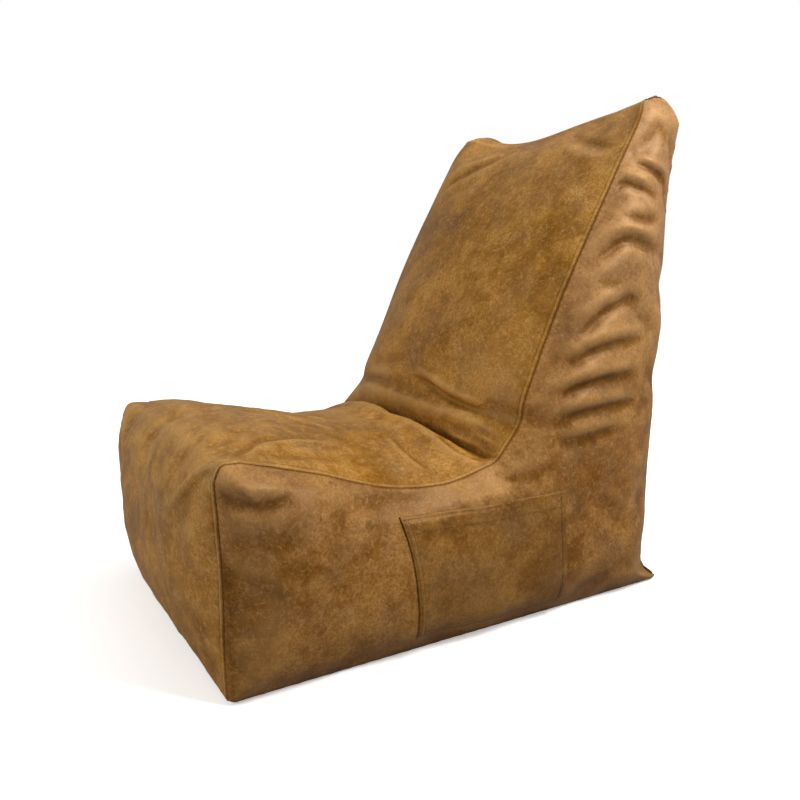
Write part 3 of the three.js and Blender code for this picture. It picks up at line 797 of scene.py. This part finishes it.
def sewAll():
    # one vertex for each stitch, carrying the way it runs and the way it faces
    places, ways, ups = [], [], []
    for points, normals in stitchRows:
        along = np.concatenate([[0], np.cumsum(np.linalg.norm(np.diff(points, axis=0), axis=1))])
        at = np.arange(sewing["pitch"] / 2, along[-1], sewing["pitch"])
        read = lambda values, where: np.stack([np.interp(where, along, values[:, c]) for c in range(3)], 1)
        places.append(read(points, at))
        ways.append(read(points, at + 0.0008) - read(points, at - 0.0008))
        ups.append(read(normals, at))
    mesh = bpy.data.meshes.new("stitches")
    mesh.from_pydata(np.concatenate(places).tolist(), [], [])
    for name, values in (("way", np.concatenate(ways)), ("facing", np.concatenate(ups))):
        held = mesh.attributes.new(name, "FLOAT_VECTOR", "POINT")
        held.data.foreach_set("vector", values.astype(np.float32).ravel())
    piece = bpy.data.objects.new("stitches", mesh)
    bpy.context.scene.collection.objects.link(piece)
    return piece


def stitchTree(material):
    # every point becomes one plump stitch lying along its row
    tree = bpy.data.node_groups.new("sewn rows", "GeometryNodeTree")
    face = tree.interface
    face.new_socket("Geometry", in_out="INPUT", socket_type="NodeSocketGeometry")
    face.new_socket("Stitch length", in_out="INPUT", socket_type="NodeSocketFloat")
    face.new_socket("Thread thickness", in_out="INPUT", socket_type="NodeSocketFloat")
    face.new_socket("Geometry", in_out="OUTPUT", socket_type="NodeSocketGeometry")
    given = addNode(tree, "NodeGroupInput")
    ball = addNode(tree, "GeometryNodeMeshUVSphere", None, Segments=6, Rings=5, Radius=0.5)
    size = addNode(tree, "ShaderNodeCombineXYZ", None, X=given.outputs["Stitch length"],
                   Y=given.outputs["Thread thickness"], Z=given.outputs["Thread thickness"])
    way = addNode(tree, "GeometryNodeInputNamedAttribute", {"data_type": "FLOAT_VECTOR"}, Name="way")
    facing = addNode(tree, "GeometryNodeInputNamedAttribute", {"data_type": "FLOAT_VECTOR"}, Name="facing")
    turn = addNode(tree, "FunctionNodeAxesToRotation", {"primary_axis": "X", "secondary_axis": "Z"},
                   in0=way.outputs[0], in1=facing.outputs[0])
    put = addNode(tree, "GeometryNodeInstanceOnPoints", None, Points=given.outputs[0], Instance=ball.outputs[0],
                  Rotation=turn.outputs[0], Scale=size.outputs[0])
    real = addNode(tree, "GeometryNodeRealizeInstances", None, Geometry=put.outputs[0])
    smooth = addNode(tree, "GeometryNodeSetShadeSmooth", None, Geometry=real.outputs[0])
    dyed = addNode(tree, "GeometryNodeSetMaterial", None, Geometry=smooth.outputs[0], Material=material)
    addNode(tree, "NodeGroupOutput", None, Geometry=dyed.outputs[0])
    return tree


def grown(piece, tree, values):
    # runs a node tree on a piece and keeps its result as a plain mesh
    modifier = piece.modifiers.new("grow", "NODES")
    modifier.node_group = tree
    for item in tree.interface.items_tree:
        if item.in_out == "INPUT" and item.name in values:
            modifier[item.identifier] = values[item.name]
    bpy.context.view_layer.update()
    ready = piece.evaluated_get(bpy.context.evaluated_depsgraph_get())
    made = bpy.data.meshes.new_from_object(ready)
    piece.modifiers.remove(modifier)
    old = piece.data
    piece.data = made
    bpy.data.meshes.remove(old)
    return piece


zipRoom = 0.0015              # the inner bag keeps this much further in behind the zip and the heel


def innerBag(name, depth, sideDepth, rows=150):
    # a closed bag inside the cover, following its settled shape
    s = np.linspace(0, ring["length"], rows, endpoint=False)
    t = np.linspace(1, -1, 25)
    grid = stripSurface(s, t)
    for panel in ("seatFront", "backrest", "rearUpper"):
        first, last = spanOf(panel)
        inside = (s >= first) & (s <= last)
        grid[inside] += resampled(settled[panel], (s[inside] - first) / (last - first), (t + 1) / 2)
    heart = np.array([0.20, 0.15])
    nearZip = smoothStep((0.034 - np.abs(grid[..., 2] - bag["zipHeight"])) / 0.012)
    behind = nearZip * (grid[..., 1] > 0.35) * zipRoom
    out = np.concatenate([np.zeros((len(s), 1)), alongRing("out", s)], 1)
    grid = slumped(grid - out[:, None] * (depth + behind[..., None]))
    grid[..., 0] *= 1 - depth / bag["seamHalf"]
    inHeel = grid[..., 2] < bag["zipHeight"] + bag["zipBand"]      # the heel's flare stays empty
    grid[..., 1] = np.where(inHeel, np.minimum(grid[..., 1], bag["zipPlane"] - depth - zipRoom), grid[..., 1])
    grid[..., 2] = np.maximum(grid[..., 2], depth)      # and the bag lies on the base, never through it
    layers = []
    for inward in (0.06, 0.13, 0.22, 0.35, 0.55, 1.0):
        flat = mix(grid[:, 0, 1:], heart, inward)
        away = seamDistance(flat[None])[0]
        swell = bag["sideBulge"] * np.tanh(away / 0.045) * min(1, inward / 0.1)
        x = halfWidthAt(flat[:, 1]) - sideDepth + swell
        layers.append(slumped(np.concatenate([x[:, None], flat], 1)))
    left = np.stack(layers[::-1], 1)
    right = left[:, ::-1] * np.array([-1, 1, 1])
    whole = np.concatenate([left, grid, right], 1)
    count = whole.shape[1]
    index = np.arange(rows * count).reshape(rows, count)
    a, b = index, np.roll(index, -1, 0)
    faces = np.stack([a[:, :-1], a[:, 1:], b[:, 1:], b[:, :-1]], 2).reshape(-1, 4)
    piece = makePiece(name, whole.reshape(-1, 3), faces)
    bm = bmesh.new()
    bm.from_mesh(piece.data)
    bmesh.ops.remove_doubles(bm, verts=bm.verts, dist=1e-5)
    bmesh.ops.recalc_face_normals(bm, faces=bm.faces)
    bm.to_mesh(piece.data)
    bm.free()
    piece.data.shade_smooth()
    return piece


def linearColour(text):
    # an sRGB hex colour as linear light
    values = [int(text[i:i + 2], 16) / 255 for i in (1, 3, 5)]
    return [v / 12.92 if v <= 0.04045 else ((v + 0.055) / 1.055) ** 2.4 for v in values] + [1.0]


def addNode(tree, kind, settings=None, **links):
    # one node with its settings, and its inputs by name: a value, or the output that feeds it
    node = tree.nodes.new(kind)
    for key, value in (settings or {}).items():
        setattr(node, key, value)
    for key, value in links.items():
        numbered = key.startswith("in") and key[2:].isdigit()
        socket = node.inputs[int(key[2:])] if numbered else node.inputs[key.replace("_", " ")]
        if isinstance(value, bpy.types.NodeSocket):
            tree.links.new(value, socket)
        else:
            socket.default_value = value
    return node


def plainMaterial(name, colour, roughness, metallic=0.0):
    made = bpy.data.materials.new(name)
    made.use_nodes = True
    shader = made.node_tree.nodes["Principled BSDF"]
    shader.inputs["Base Color"].default_value = linearColour(colour)
    shader.inputs["Roughness"].default_value = roughness
    shader.inputs["Metallic"].default_value = metallic
    return made


def rampNode(tree, value, stops):
    node = addNode(tree, "ShaderNodeValToRGB", None, Fac=value)
    while len(node.color_ramp.elements) < len(stops):
        node.color_ramp.elements.new(0.5)
    for element, (place, colour) in zip(node.color_ramp.elements, stops):
        element.position, element.color = place, linearColour(colour)
    return node.outputs["Color"]


def leather(name, deep, mid, light, rubbed, worn, paintedSheenTop=0.0):
    made = plainMaterial(name, mid, 0.45)
    tree = made.node_tree
    shader = tree.nodes["Principled BSDF"]
    place = addNode(tree, "ShaderNodeTexCoord").outputs["Object"]
    hide = addNode(tree, "ShaderNodeAttribute", {"attribute_name": "hide"}).outputs["Fac"]
    rubAndShade = addNode(tree, "ShaderNodeAttribute", {"attribute_name": "rubAndShade"}).outputs["Fac"]

    def cloud(scale, detail, roughness, distortion=0.0):
        return addNode(tree, "ShaderNodeTexNoise", {"noise_dimensions": "4D"}, Vector=place, W=hide,
                       Scale=scale, Detail=detail, Roughness=roughness, Distortion=distortion).outputs["Fac"]

    def sums(kind, a, b):
        return addNode(tree, "ShaderNodeMath", {"operation": kind}, in0=a, in1=b).outputs[0]

    def blended(share, a, b, kind="MIX"):
        return addNode(tree, "ShaderNodeMix", {"data_type": "RGBA", "blend_type": kind}, in0=share, in6=a,
                       in7=b).outputs[2]

    def span(value, low, high, toLow, toHigh):
        return addNode(tree, "ShaderNodeMapRange", None, Value=value, From_Min=low, From_Max=high, To_Min=toLow,
                       To_Max=toHigh).outputs[0]

    # clouds 140 mm and 35 mm across, flecks of 6 mm, a grain of 1.2 mm, and fine crackled veins 9 mm apart
    broad, blotch = cloud(7, 3, 0.55), cloud(28, 8, 0.66, 0.6)
    fleck, grain = cloud(125, 7, 0.74, 1.0), cloud(850, 3, 0.6)
    wander = addNode(tree, "ShaderNodeTexNoise", None, Vector=place, Scale=60, Detail=4,
                     Roughness=0.6).outputs["Color"]
    bent = addNode(tree, "ShaderNodeMix", {"data_type": "VECTOR"}, in0=0.018, in4=place, in5=wander).outputs[1]
    veins = addNode(tree, "ShaderNodeTexVoronoi", {"feature": "DISTANCE_TO_EDGE"}, Vector=bent,
                    Scale=115).outputs[0]
    tone = sums("ADD", sums("MULTIPLY", broad, 0.55), sums("MULTIPLY", blotch, 0.45))
    colour = rampNode(tree, tone, [(0.33, deep), (0.46, mid), (0.62, light)])
    greyed = span(cloud(10, 5, 0.6, 0.3), 0.48, 0.66, 0.0, 0.45)
    if paintedSheenTop:     # painted sheen: darker flank at the foot, paler and pinker back at the top, most on ridges
        height = addNode(tree, "ShaderNodeSeparateXYZ", None, Vector=place).outputs["Z"]
        reach = span(sums("ADD", height, sums("MULTIPLY", broad, 0.5)), 0.40, 1.05, 0.0, paintedSheenTop)
        reach = sums("MULTIPLY", reach, span(rubAndShade, -0.55, 0.15, 0.25, 1.0))
        colour = blended(reach, colour, linearColour("#b0865c"))
    colour = blended(greyed, colour, linearColour(worn))
    inPatches = span(sums("ADD", blotch, broad), 0.92, 1.12, 0.0, 0.75)
    colour = blended(sums("MULTIPLY", span(veins, 0.0, 0.12, 0.70, 0.0), inPatches), colour,
                     linearColour(rubbed))
    colour = blended(span(fleck, 0.51, 0.64, 0.0, 0.54), colour, linearColour(rubbed))
    colour = blended(span(fleck, 0.48, 0.34, 0.0, 0.62), colour, linearColour(deep))
    colour = blended(span(rubAndShade, 0.08, 1.0, 0.0, 0.34), colour, linearColour(rubbed))
    # painted shade: the hollows of folds, the seam grooves and the crease are darkened toward the deep tone
    colour = blended(span(rubAndShade, -0.10, -1.7, 0.0, 0.85), colour, linearColour(deep))
    tree.links.new(colour, shader.inputs["Base Color"])
    tree.links.new(span(sums("ADD", blotch, sums("MULTIPLY", fleck, 0.6)), 0.62, 0.98, 0.33, 0.52),
                   shader.inputs["Roughness"])
    shader.inputs["IOR"].default_value = 1.45
    shader.inputs["Specular IOR Level"].default_value = 0.42
    shader.inputs["Specular Tint"].default_value = linearColour("#f2c188")     # the wax warms what it reflects
    height = sums("ADD", sums("MULTIPLY", grain, 0.45), sums("ADD", fleck, span(veins, 0.0, 0.10, 0.0, 0.35)))
    bump = addNode(tree, "ShaderNodeBump", None, Height=height, Strength=0.4, Distance=0.0007)
    tree.links.new(bump.outputs[0], shader.inputs["Normal"])
    return made


cover = makeCover()
print("cover panels made")
cover["pocket"] = makePocket()
tones = {
    "tan": leather("waxed pull-up leather, tan", "#6b430a", "#8a5b15", "#a26f23", "#c2975a", "#86633f"),
    "side": leather("waxed pull-up leather, side hide", "#593506", "#7b4d13", "#996929", "#ba8e58", "#866345",
                    0.62),
    "dark": leather("waxed pull-up leather, dark hide", "#59370f", "#784e1a", "#8e632a", "#a97e48", "#7a5a3a"),
}
panelTones = {"seatFront": "tan", "backrest": "tan", "sideLeft": "side", "sideRight": "side"}
for panel, piece in cover.items():
    piece.data.materials.append(tones[panelTones.get(panel, "dark")])
    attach(piece, "bag")
thread = plainMaterial("bonded polyester thread", "#4f3414", 0.5)


zips = {
    "cover": {"pitch": 0.00125, "wire": 0.00034, "ribs": 0.0016},
    "liner": {"pitch": 0.00105, "wire": 0.00027, "ribs": 0.0014},
}


def coilTree(name, material):
    # a nylon coil: one spiral wire along the tape, as long as its tape says
    tree = bpy.data.node_groups.new(name, "GeometryNodeTree")
    face = tree.interface
    face.new_socket("Geometry", in_out="INPUT", socket_type="NodeSocketGeometry")
    for size in ("Turns", "Length", "Loop radius", "Wire radius", "Loop flatness"):
        face.new_socket(size, in_out="INPUT", socket_type="NodeSocketFloat")
    face.new_socket("Place", in_out="INPUT", socket_type="NodeSocketVector")
    face.new_socket("Geometry", in_out="OUTPUT", socket_type="NodeSocketGeometry")
    given = addNode(tree, "NodeGroupInput").outputs
    spiral = addNode(tree, "GeometryNodeCurveSpiral", None, Resolution=9, Rotations=given["Turns"],
                     Start_Radius=given["Loop radius"], End_Radius=given["Loop radius"], Height=given["Length"])
    wire = addNode(tree, "GeometryNodeCurvePrimitiveCircle", None, Resolution=5, Radius=given["Wire radius"])
    flat = addNode(tree, "ShaderNodeCombineXYZ", None, X=1.0, Y=given["Loop flatness"], Z=1.0)
    flattened = addNode(tree, "GeometryNodeTransform", None, Geometry=spiral.outputs[0], Scale=flat.outputs[0])
    laid = addNode(tree, "GeometryNodeTransform", None, Geometry=flattened.outputs[0],
                   Translation=given["Place"], Rotation=(0.0, math.pi / 2, 0.0))
    tube = addNode(tree, "GeometryNodeCurveToMesh", None, Curve=laid.outputs[0], Profile_Curve=wire.outputs[0],
                   Fill_Caps=True)
    smooth = addNode(tree, "GeometryNodeSetShadeSmooth", None, Geometry=tube.outputs[0])
    real = addNode(tree, "GeometryNodeRealizeInstances", None, Geometry=smooth.outputs[0])
    dyed = addNode(tree, "GeometryNodeSetMaterial", None, Geometry=real.outputs[0], Material=material)
    addNode(tree, "NodeGroupOutput", None, Geometry=dyed.outputs[0])
    return tree


def makeTape(node, towards):
    # a woven tape with a corded edge beside the coil; towards is +1 where the coil lies above it
    low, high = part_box(node)
    x = np.linspace(low.x, high.x, 191)
    k = np.array([0, 0.03, 0.08, 0.2, 0.35, 0.5, 0.65, 0.78, 0.86, 0.9, 0.94, 0.98, 1.0])
    z = mix(low.z, high.z, k) if towards > 0 else mix(low.z, high.z, 1 - k[::-1])
    toEdge = (high.z - z) if towards > 0 else (z - low.z)
    grid = np.empty((len(x), len(z), 3))
    grid[..., 0], grid[..., 2] = x[:, None], z[None]
    grid[..., 1] = high.y - 0.0001 + 0.0004 * np.exp(-((toEdge - 0.0008) / 0.0006) ** 2)[None]
    piece = closedSheet(node + "_woven", grid, high.y - low.y, -1)
    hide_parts(node)
    return piece


def finishedMetal(node, edge):
    # a cast part with its edges eased
    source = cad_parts[node]
    bm = bmesh.new()
    bm.from_mesh(source.data)
    bmesh.ops.remove_doubles(bm, verts=bm.verts, dist=1e-6)
    bmesh.ops.dissolve_limit(bm, angle_limit=0.03, verts=bm.verts, edges=bm.edges)
    sharp = [e for e in bm.edges if len(e.link_faces) == 2 and e.calc_face_angle(0) > 0.5]
    bmesh.ops.bevel(bm, geom=sharp, offset=edge, segments=2, profile=0.6, affect="EDGES", clamp_overlap=True)
    mesh = bpy.data.meshes.new(node + "_cast")
    bm.to_mesh(mesh)
    bm.free()
    mesh.shade_smooth()
    piece = bpy.data.objects.new(node + "_cast", mesh)
    bpy.context.scene.collection.objects.link(piece)
    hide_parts(node)
    return piece


def wovenMaterial(name, colour, dark):
    made = plainMaterial(name, colour, 0.82)
    tree = made.node_tree
    shader = tree.nodes["Principled BSDF"]
    shader.inputs["Sheen Weight"].default_value = 0.15
    place = addNode(tree, "ShaderNodeTexCoord").outputs["Object"]
    # threads 0.5 mm apart, crossing
    parts = addNode(tree, "ShaderNodeSeparateXYZ", None, Vector=place).outputs
    ways = []
    for part in (0, 2):
        turned = addNode(tree, "ShaderNodeMath", {"operation": "MULTIPLY"}, in0=parts[part],
                         in1=math.tau / 0.0010)
        ways.append(addNode(tree, "ShaderNodeMath", {"operation": "SINE"}, in0=turned.outputs[0]).outputs[0])
    weave = addNode(tree, "ShaderNodeMath", {"operation": "MULTIPLY"}, in0=ways[0], in1=ways[1]).outputs[0]
    share = addNode(tree, "ShaderNodeMapRange", None, Value=weave, From_Min=-1.0, From_Max=1.0).outputs[0]
    mixed = addNode(tree, "ShaderNodeMix", {"data_type": "RGBA"}, in0=share, in6=linearColour(dark),
                    in7=linearColour(colour)).outputs[2]
    tree.links.new(mixed, shader.inputs["Base Color"])
    bump = addNode(tree, "ShaderNodeBump", None, Height=weave, Strength=0.4, Distance=0.0002)
    tree.links.new(bump.outputs[0], shader.inputs["Normal"])
    return made


def brassMaterial():
    made = plainMaterial("antique brass plated zinc", "#a58452", 0.34, 1.0)
    tree = made.node_tree
    place = addNode(tree, "ShaderNodeTexCoord").outputs["Object"]
    tarnish = addNode(tree, "ShaderNodeTexNoise", None, Vector=place, Scale=420, Detail=6,
                      Roughness=0.65).outputs["Fac"]
    shade = rampNode(tree, tarnish, [(0.35, "#5c4526"), (0.5, "#98773f"), (0.65, "#c2a468")])
    tree.links.new(shade, tree.nodes["Principled BSDF"].inputs["Base Color"])
    rough = addNode(tree, "ShaderNodeMapRange", None, Value=tarnish, From_Min=0.35, From_Max=0.65, To_Min=0.46,
                    To_Max=0.26).outputs[0]
    tree.links.new(rough, tree.nodes["Principled BSDF"].inputs["Roughness"])
    return made


def makeZips():
    nylon = {"cover": plainMaterial("moulded nylon coil, brown", "#3a2614", 0.38),
             "liner": plainMaterial("moulded nylon coil, natural", "#d8d4ca", 0.4)}
    tape = {"cover": wovenMaterial("woven polyester tape, brown", "#4b3218", "#2e1d0d"),
            "liner": wovenMaterial("woven polyester tape, natural", "#d9d5cb", "#b7b2a6")}
    brass = brassMaterial()
    for kind in ("cover", "liner"):
        sizes = zips[kind]
        tree = coilTree("nylon coil, " + kind, nylon[kind])
        for half in ("upper", "lower"):
            woven = makeTape("%s_zip_tape_%s" % (kind, half), 1 if half == "lower" else -1)
            woven.data.materials.append(tape[kind])
            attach(woven, "bag")
            node = "%s_zip_coil_%s" % (kind, half)
            low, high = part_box(node)
            coil = makePiece(node + "_wire", [(low.x, high.y, high.z)], [])
            across, deep = (high.z - low.z) / 2, (high.y - low.y) / 2
            length = high.x - low.x
            grown(coil, tree, {
                "Turns": length / sizes["pitch"], "Length": length, "Loop radius": across - sizes["wire"],
                "Wire radius": sizes["wire"],
                "Loop flatness": (deep - sizes["wire"]) / (across - sizes["wire"]),
                "Place": (low.x, (low.y + high.y) / 2, (low.z + high.z) / 2)})
            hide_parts(node)
            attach(coil, "bag")
        parts = {"stop_closed": "bag", "stop_open": "bag", "slider": kind + "_slider"}
        if kind == "cover":
            parts["puller"] = "cover_puller"
        for part, body in parts.items():
            node = kind + ("_zip_" + part)
            metal = finishedMetal(node, 0.00018)
            metal.data.materials.append(brass)
            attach(metal, body)
    print("zips made")


makeZips()
for way in (1, -1):
    x = np.linspace(-bag["slotEnd"] - 0.005, bag["slotEnd"] + 0.005, 240)
    z = np.full(240, bag["zipHeight"] + way * (bag["slotHalf"] + 0.0030))
    addRow(np.stack([x, np.full(240, bag["zipPlane"] - 0.0002), z], 1), np.tile([0.0, 1.0, 0.0], (240, 1)))
stitches = grown(sewAll(), stitchTree(thread),
                 {"Stitch length": sewing["length"], "Thread thickness": sewing["thick"]})
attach(stitches, "bag")
print("rows sewn")


def clothMaterial():
    # the inner bag's plain non-woven cloth, a soft matt white
    made = plainMaterial("spun-bonded polypropylene cloth", "#e8e5de", 0.88)
    tree = made.node_tree
    place = addNode(tree, "ShaderNodeTexCoord").outputs["Object"]
    dots = addNode(tree, "ShaderNodeTexVoronoi", {"feature": "SMOOTH_F1"}, Vector=place,
                   Scale=620).outputs["Distance"]
    fibre = addNode(tree, "ShaderNodeTexNoise", None, Vector=place, Scale=300, Detail=8,
                    Roughness=0.75).outputs["Fac"]
    shade = rampNode(tree, fibre, [(0.35, "#d4d0c7"), (0.6, "#efece6")])
    tree.links.new(shade, tree.nodes["Principled BSDF"].inputs["Base Color"])
    bump = addNode(tree, "ShaderNodeBump", None, Height=dots, Strength=0.3, Distance=0.0003)
    tree.links.new(bump.outputs[0], tree.nodes["Principled BSDF"].inputs["Normal"])
    return made


def beadMaterial():
    # expanded polystyrene beads about 4 mm across, packed together
    made = plainMaterial("expanded polystyrene beads", "#f3f3f1", 0.7)
    tree = made.node_tree
    place = addNode(tree, "ShaderNodeTexCoord").outputs["Object"]
    beads = addNode(tree, "ShaderNodeTexVoronoi", None, Vector=place, Scale=250).outputs["Distance"]
    # painted shade: grey in the gaps between the beads, white on their middles
    shade = rampNode(tree, beads, [(0.25, "#fbfbfa"), (0.6, "#dcdcd8"), (0.8, "#a9a9a4")])
    tree.links.new(shade, tree.nodes["Principled BSDF"].inputs["Base Color"])
    lumps = addNode(tree, "ShaderNodeMath", {"operation": "SUBTRACT"}, in0=1.0, in1=beads).outputs[0]
    bump = addNode(tree, "ShaderNodeBump", None, Height=lumps, Strength=1.0, Distance=0.002)
    tree.links.new(bump.outputs[0], tree.nodes["Principled BSDF"].inputs["Normal"])
    return made


liner = innerBag("inner_bag", 0.0165, 0.026)
beads = innerBag("bead_filling", 0.0195, 0.030)
for piece, node, slot, material in ((liner, "liner", "liner_cloth", clothMaterial()),
                                    (beads, "bead_fill", "foam_beads", beadMaterial())):
    piece.data.materials.append(material)
    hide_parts(node)
    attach(piece, "bag")
print("inner bag filled")

flatSizes = {
    "seatFront": (0.66, spanOf("seatFront")[1] - spanOf("seatFront")[0]),
    "backrest": (0.66, spanOf("backrest")[1] - spanOf("backrest")[0]),
    "rearUpper": (0.66, spanOf("rearUpper")[1] - spanOf("rearUpper")[0]),
    "rearLower": (0.645, spanOf("rearLower")[1] - spanOf("rearLower")[0]),
    "base": (0.645, spanOf("base")[1] - spanOf("base")[0]),
    "sideLeft": (0.98, 0.99), "sideRight": (0.98, 0.99), "pocket": (0.345, 0.27),
}


def areaOf(piece):
    # the area of one face of a sheet
    return sum(face.area for face in piece.data.polygons) / 2


for panel, piece in cover.items():
    if panel in ("sideLeft", "sideRight"):
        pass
    elif panel == "pocket":
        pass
    else:
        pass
    print(panel, "%.3f m2 made" % areaOf(piece), flatSizes[panel])


def makeStudio():
    scene = bpy.context.scene
    cameraData = bpy.data.cameras.new("camera")
    camera = bpy.data.objects.new("camera", cameraData)
    scene.collection.objects.link(camera)
    scene.camera = camera
    cameraData.sensor_width, cameraData.lens = 36, 33.86
    cameraData.clip_start, cameraData.clip_end = 0.05, 60
    azimuth, elevation = math.radians(59.269), math.radians(9.7743)
    back = Vector((math.sin(azimuth) * math.cos(elevation), -math.cos(azimuth) * math.cos(elevation),
                   math.sin(elevation)))
    camera.location = Vector((0.0299, 0, 0.3931)) + back * 1.5863
    camera.rotation_mode = "QUATERNION"
    camera.rotation_quaternion = (-back).to_track_quat("-Z", "Y")
    bm = bmesh.new()
    bmesh.ops.create_grid(bm, x_segments=8, y_segments=8, size=12)
    floorMesh = bpy.data.meshes.new("floor")
    bm.to_mesh(floorMesh)
    bm.free()
    floor = bpy.data.objects.new("floor", floorMesh)
    floor.location.z = -0.0005
    scene.collection.objects.link(floor)
    # seen directly the floor is pale paper that fades into the background; it throws little light back up
    paper = plainMaterial("pale studio floor", "#fbf9f7", 0.4)
    tree = paper.node_tree
    shader = tree.nodes["Principled BSDF"]
    shader.inputs["Specular IOR Level"].default_value = 0.2
    seen = addNode(tree, "ShaderNodeLightPath").outputs["Is Camera Ray"]
    tint = addNode(tree, "ShaderNodeMix", {"data_type": "RGBA"}, in0=seen, in6=linearColour("#a39d96"),
                   in7=linearColour("#fbfaf8")).outputs[2]
    tree.links.new(tint, shader.inputs["Base Color"])
    place = addNode(tree, "ShaderNodeTexCoord").outputs["Object"]
    far = addNode(tree, "ShaderNodeVectorMath", {"operation": "LENGTH"}, in0=place).outputs["Value"]
    fade = addNode(tree, "ShaderNodeMapRange", {"interpolation_type": "SMOOTHSTEP"}, Value=far, From_Min=0.7,
                   From_Max=2.4, To_Min=0.43, To_Max=0.9).outputs[0]
    glow = addNode(tree, "ShaderNodeMath", {"operation": "MULTIPLY"}, in0=seen, in1=fade).outputs[0]
    tree.links.new(glow, shader.inputs["Emission Strength"])
    shader.inputs["Emission Color"].default_value = linearColour("#fffefd")
    floor.data.materials.append(paper)
    world = bpy.data.worlds.new("studio")
    scene.world = world
    world.use_nodes = True
    background = world.node_tree.nodes["Background"]
    background.inputs["Color"].default_value = (1, 1, 1, 1)
    seen = addNode(world.node_tree, "ShaderNodeLightPath").outputs["Is Camera Ray"]
    strength = addNode(world.node_tree, "ShaderNodeMapRange", None, Value=seen, To_Min=0.28,
                       To_Max=1.0).outputs[0]
    world.node_tree.links.new(strength, background.inputs["Strength"])
    scene.view_settings.view_transform = "Standard"

    def softLight(name, place, aim, size, power):
        data = bpy.data.lights.new(name, "AREA")
        data.shape, data.size, data.energy = "SQUARE", size, power
        light = bpy.data.objects.new(name, data)
        light.location = place
        light.rotation_mode = "QUATERNION"
        light.rotation_quaternion = (Vector(aim) - Vector(place)).to_track_quat("-Z", "Y")
        scene.collection.objects.link(light)

    softLight("key", (1.8, 1.15, 2.4), (0.1, 0.3, 0.8), 0.7, 76)
    softLight("front", (-0.5, -2.8, 1.5), (0, 0, 0.35), 1.6, 44)
    softLight("top", (-0.3, 0.3, 3.0), (0, 0, 0), 2.0, 20)


makeStudio()
print("studio made")
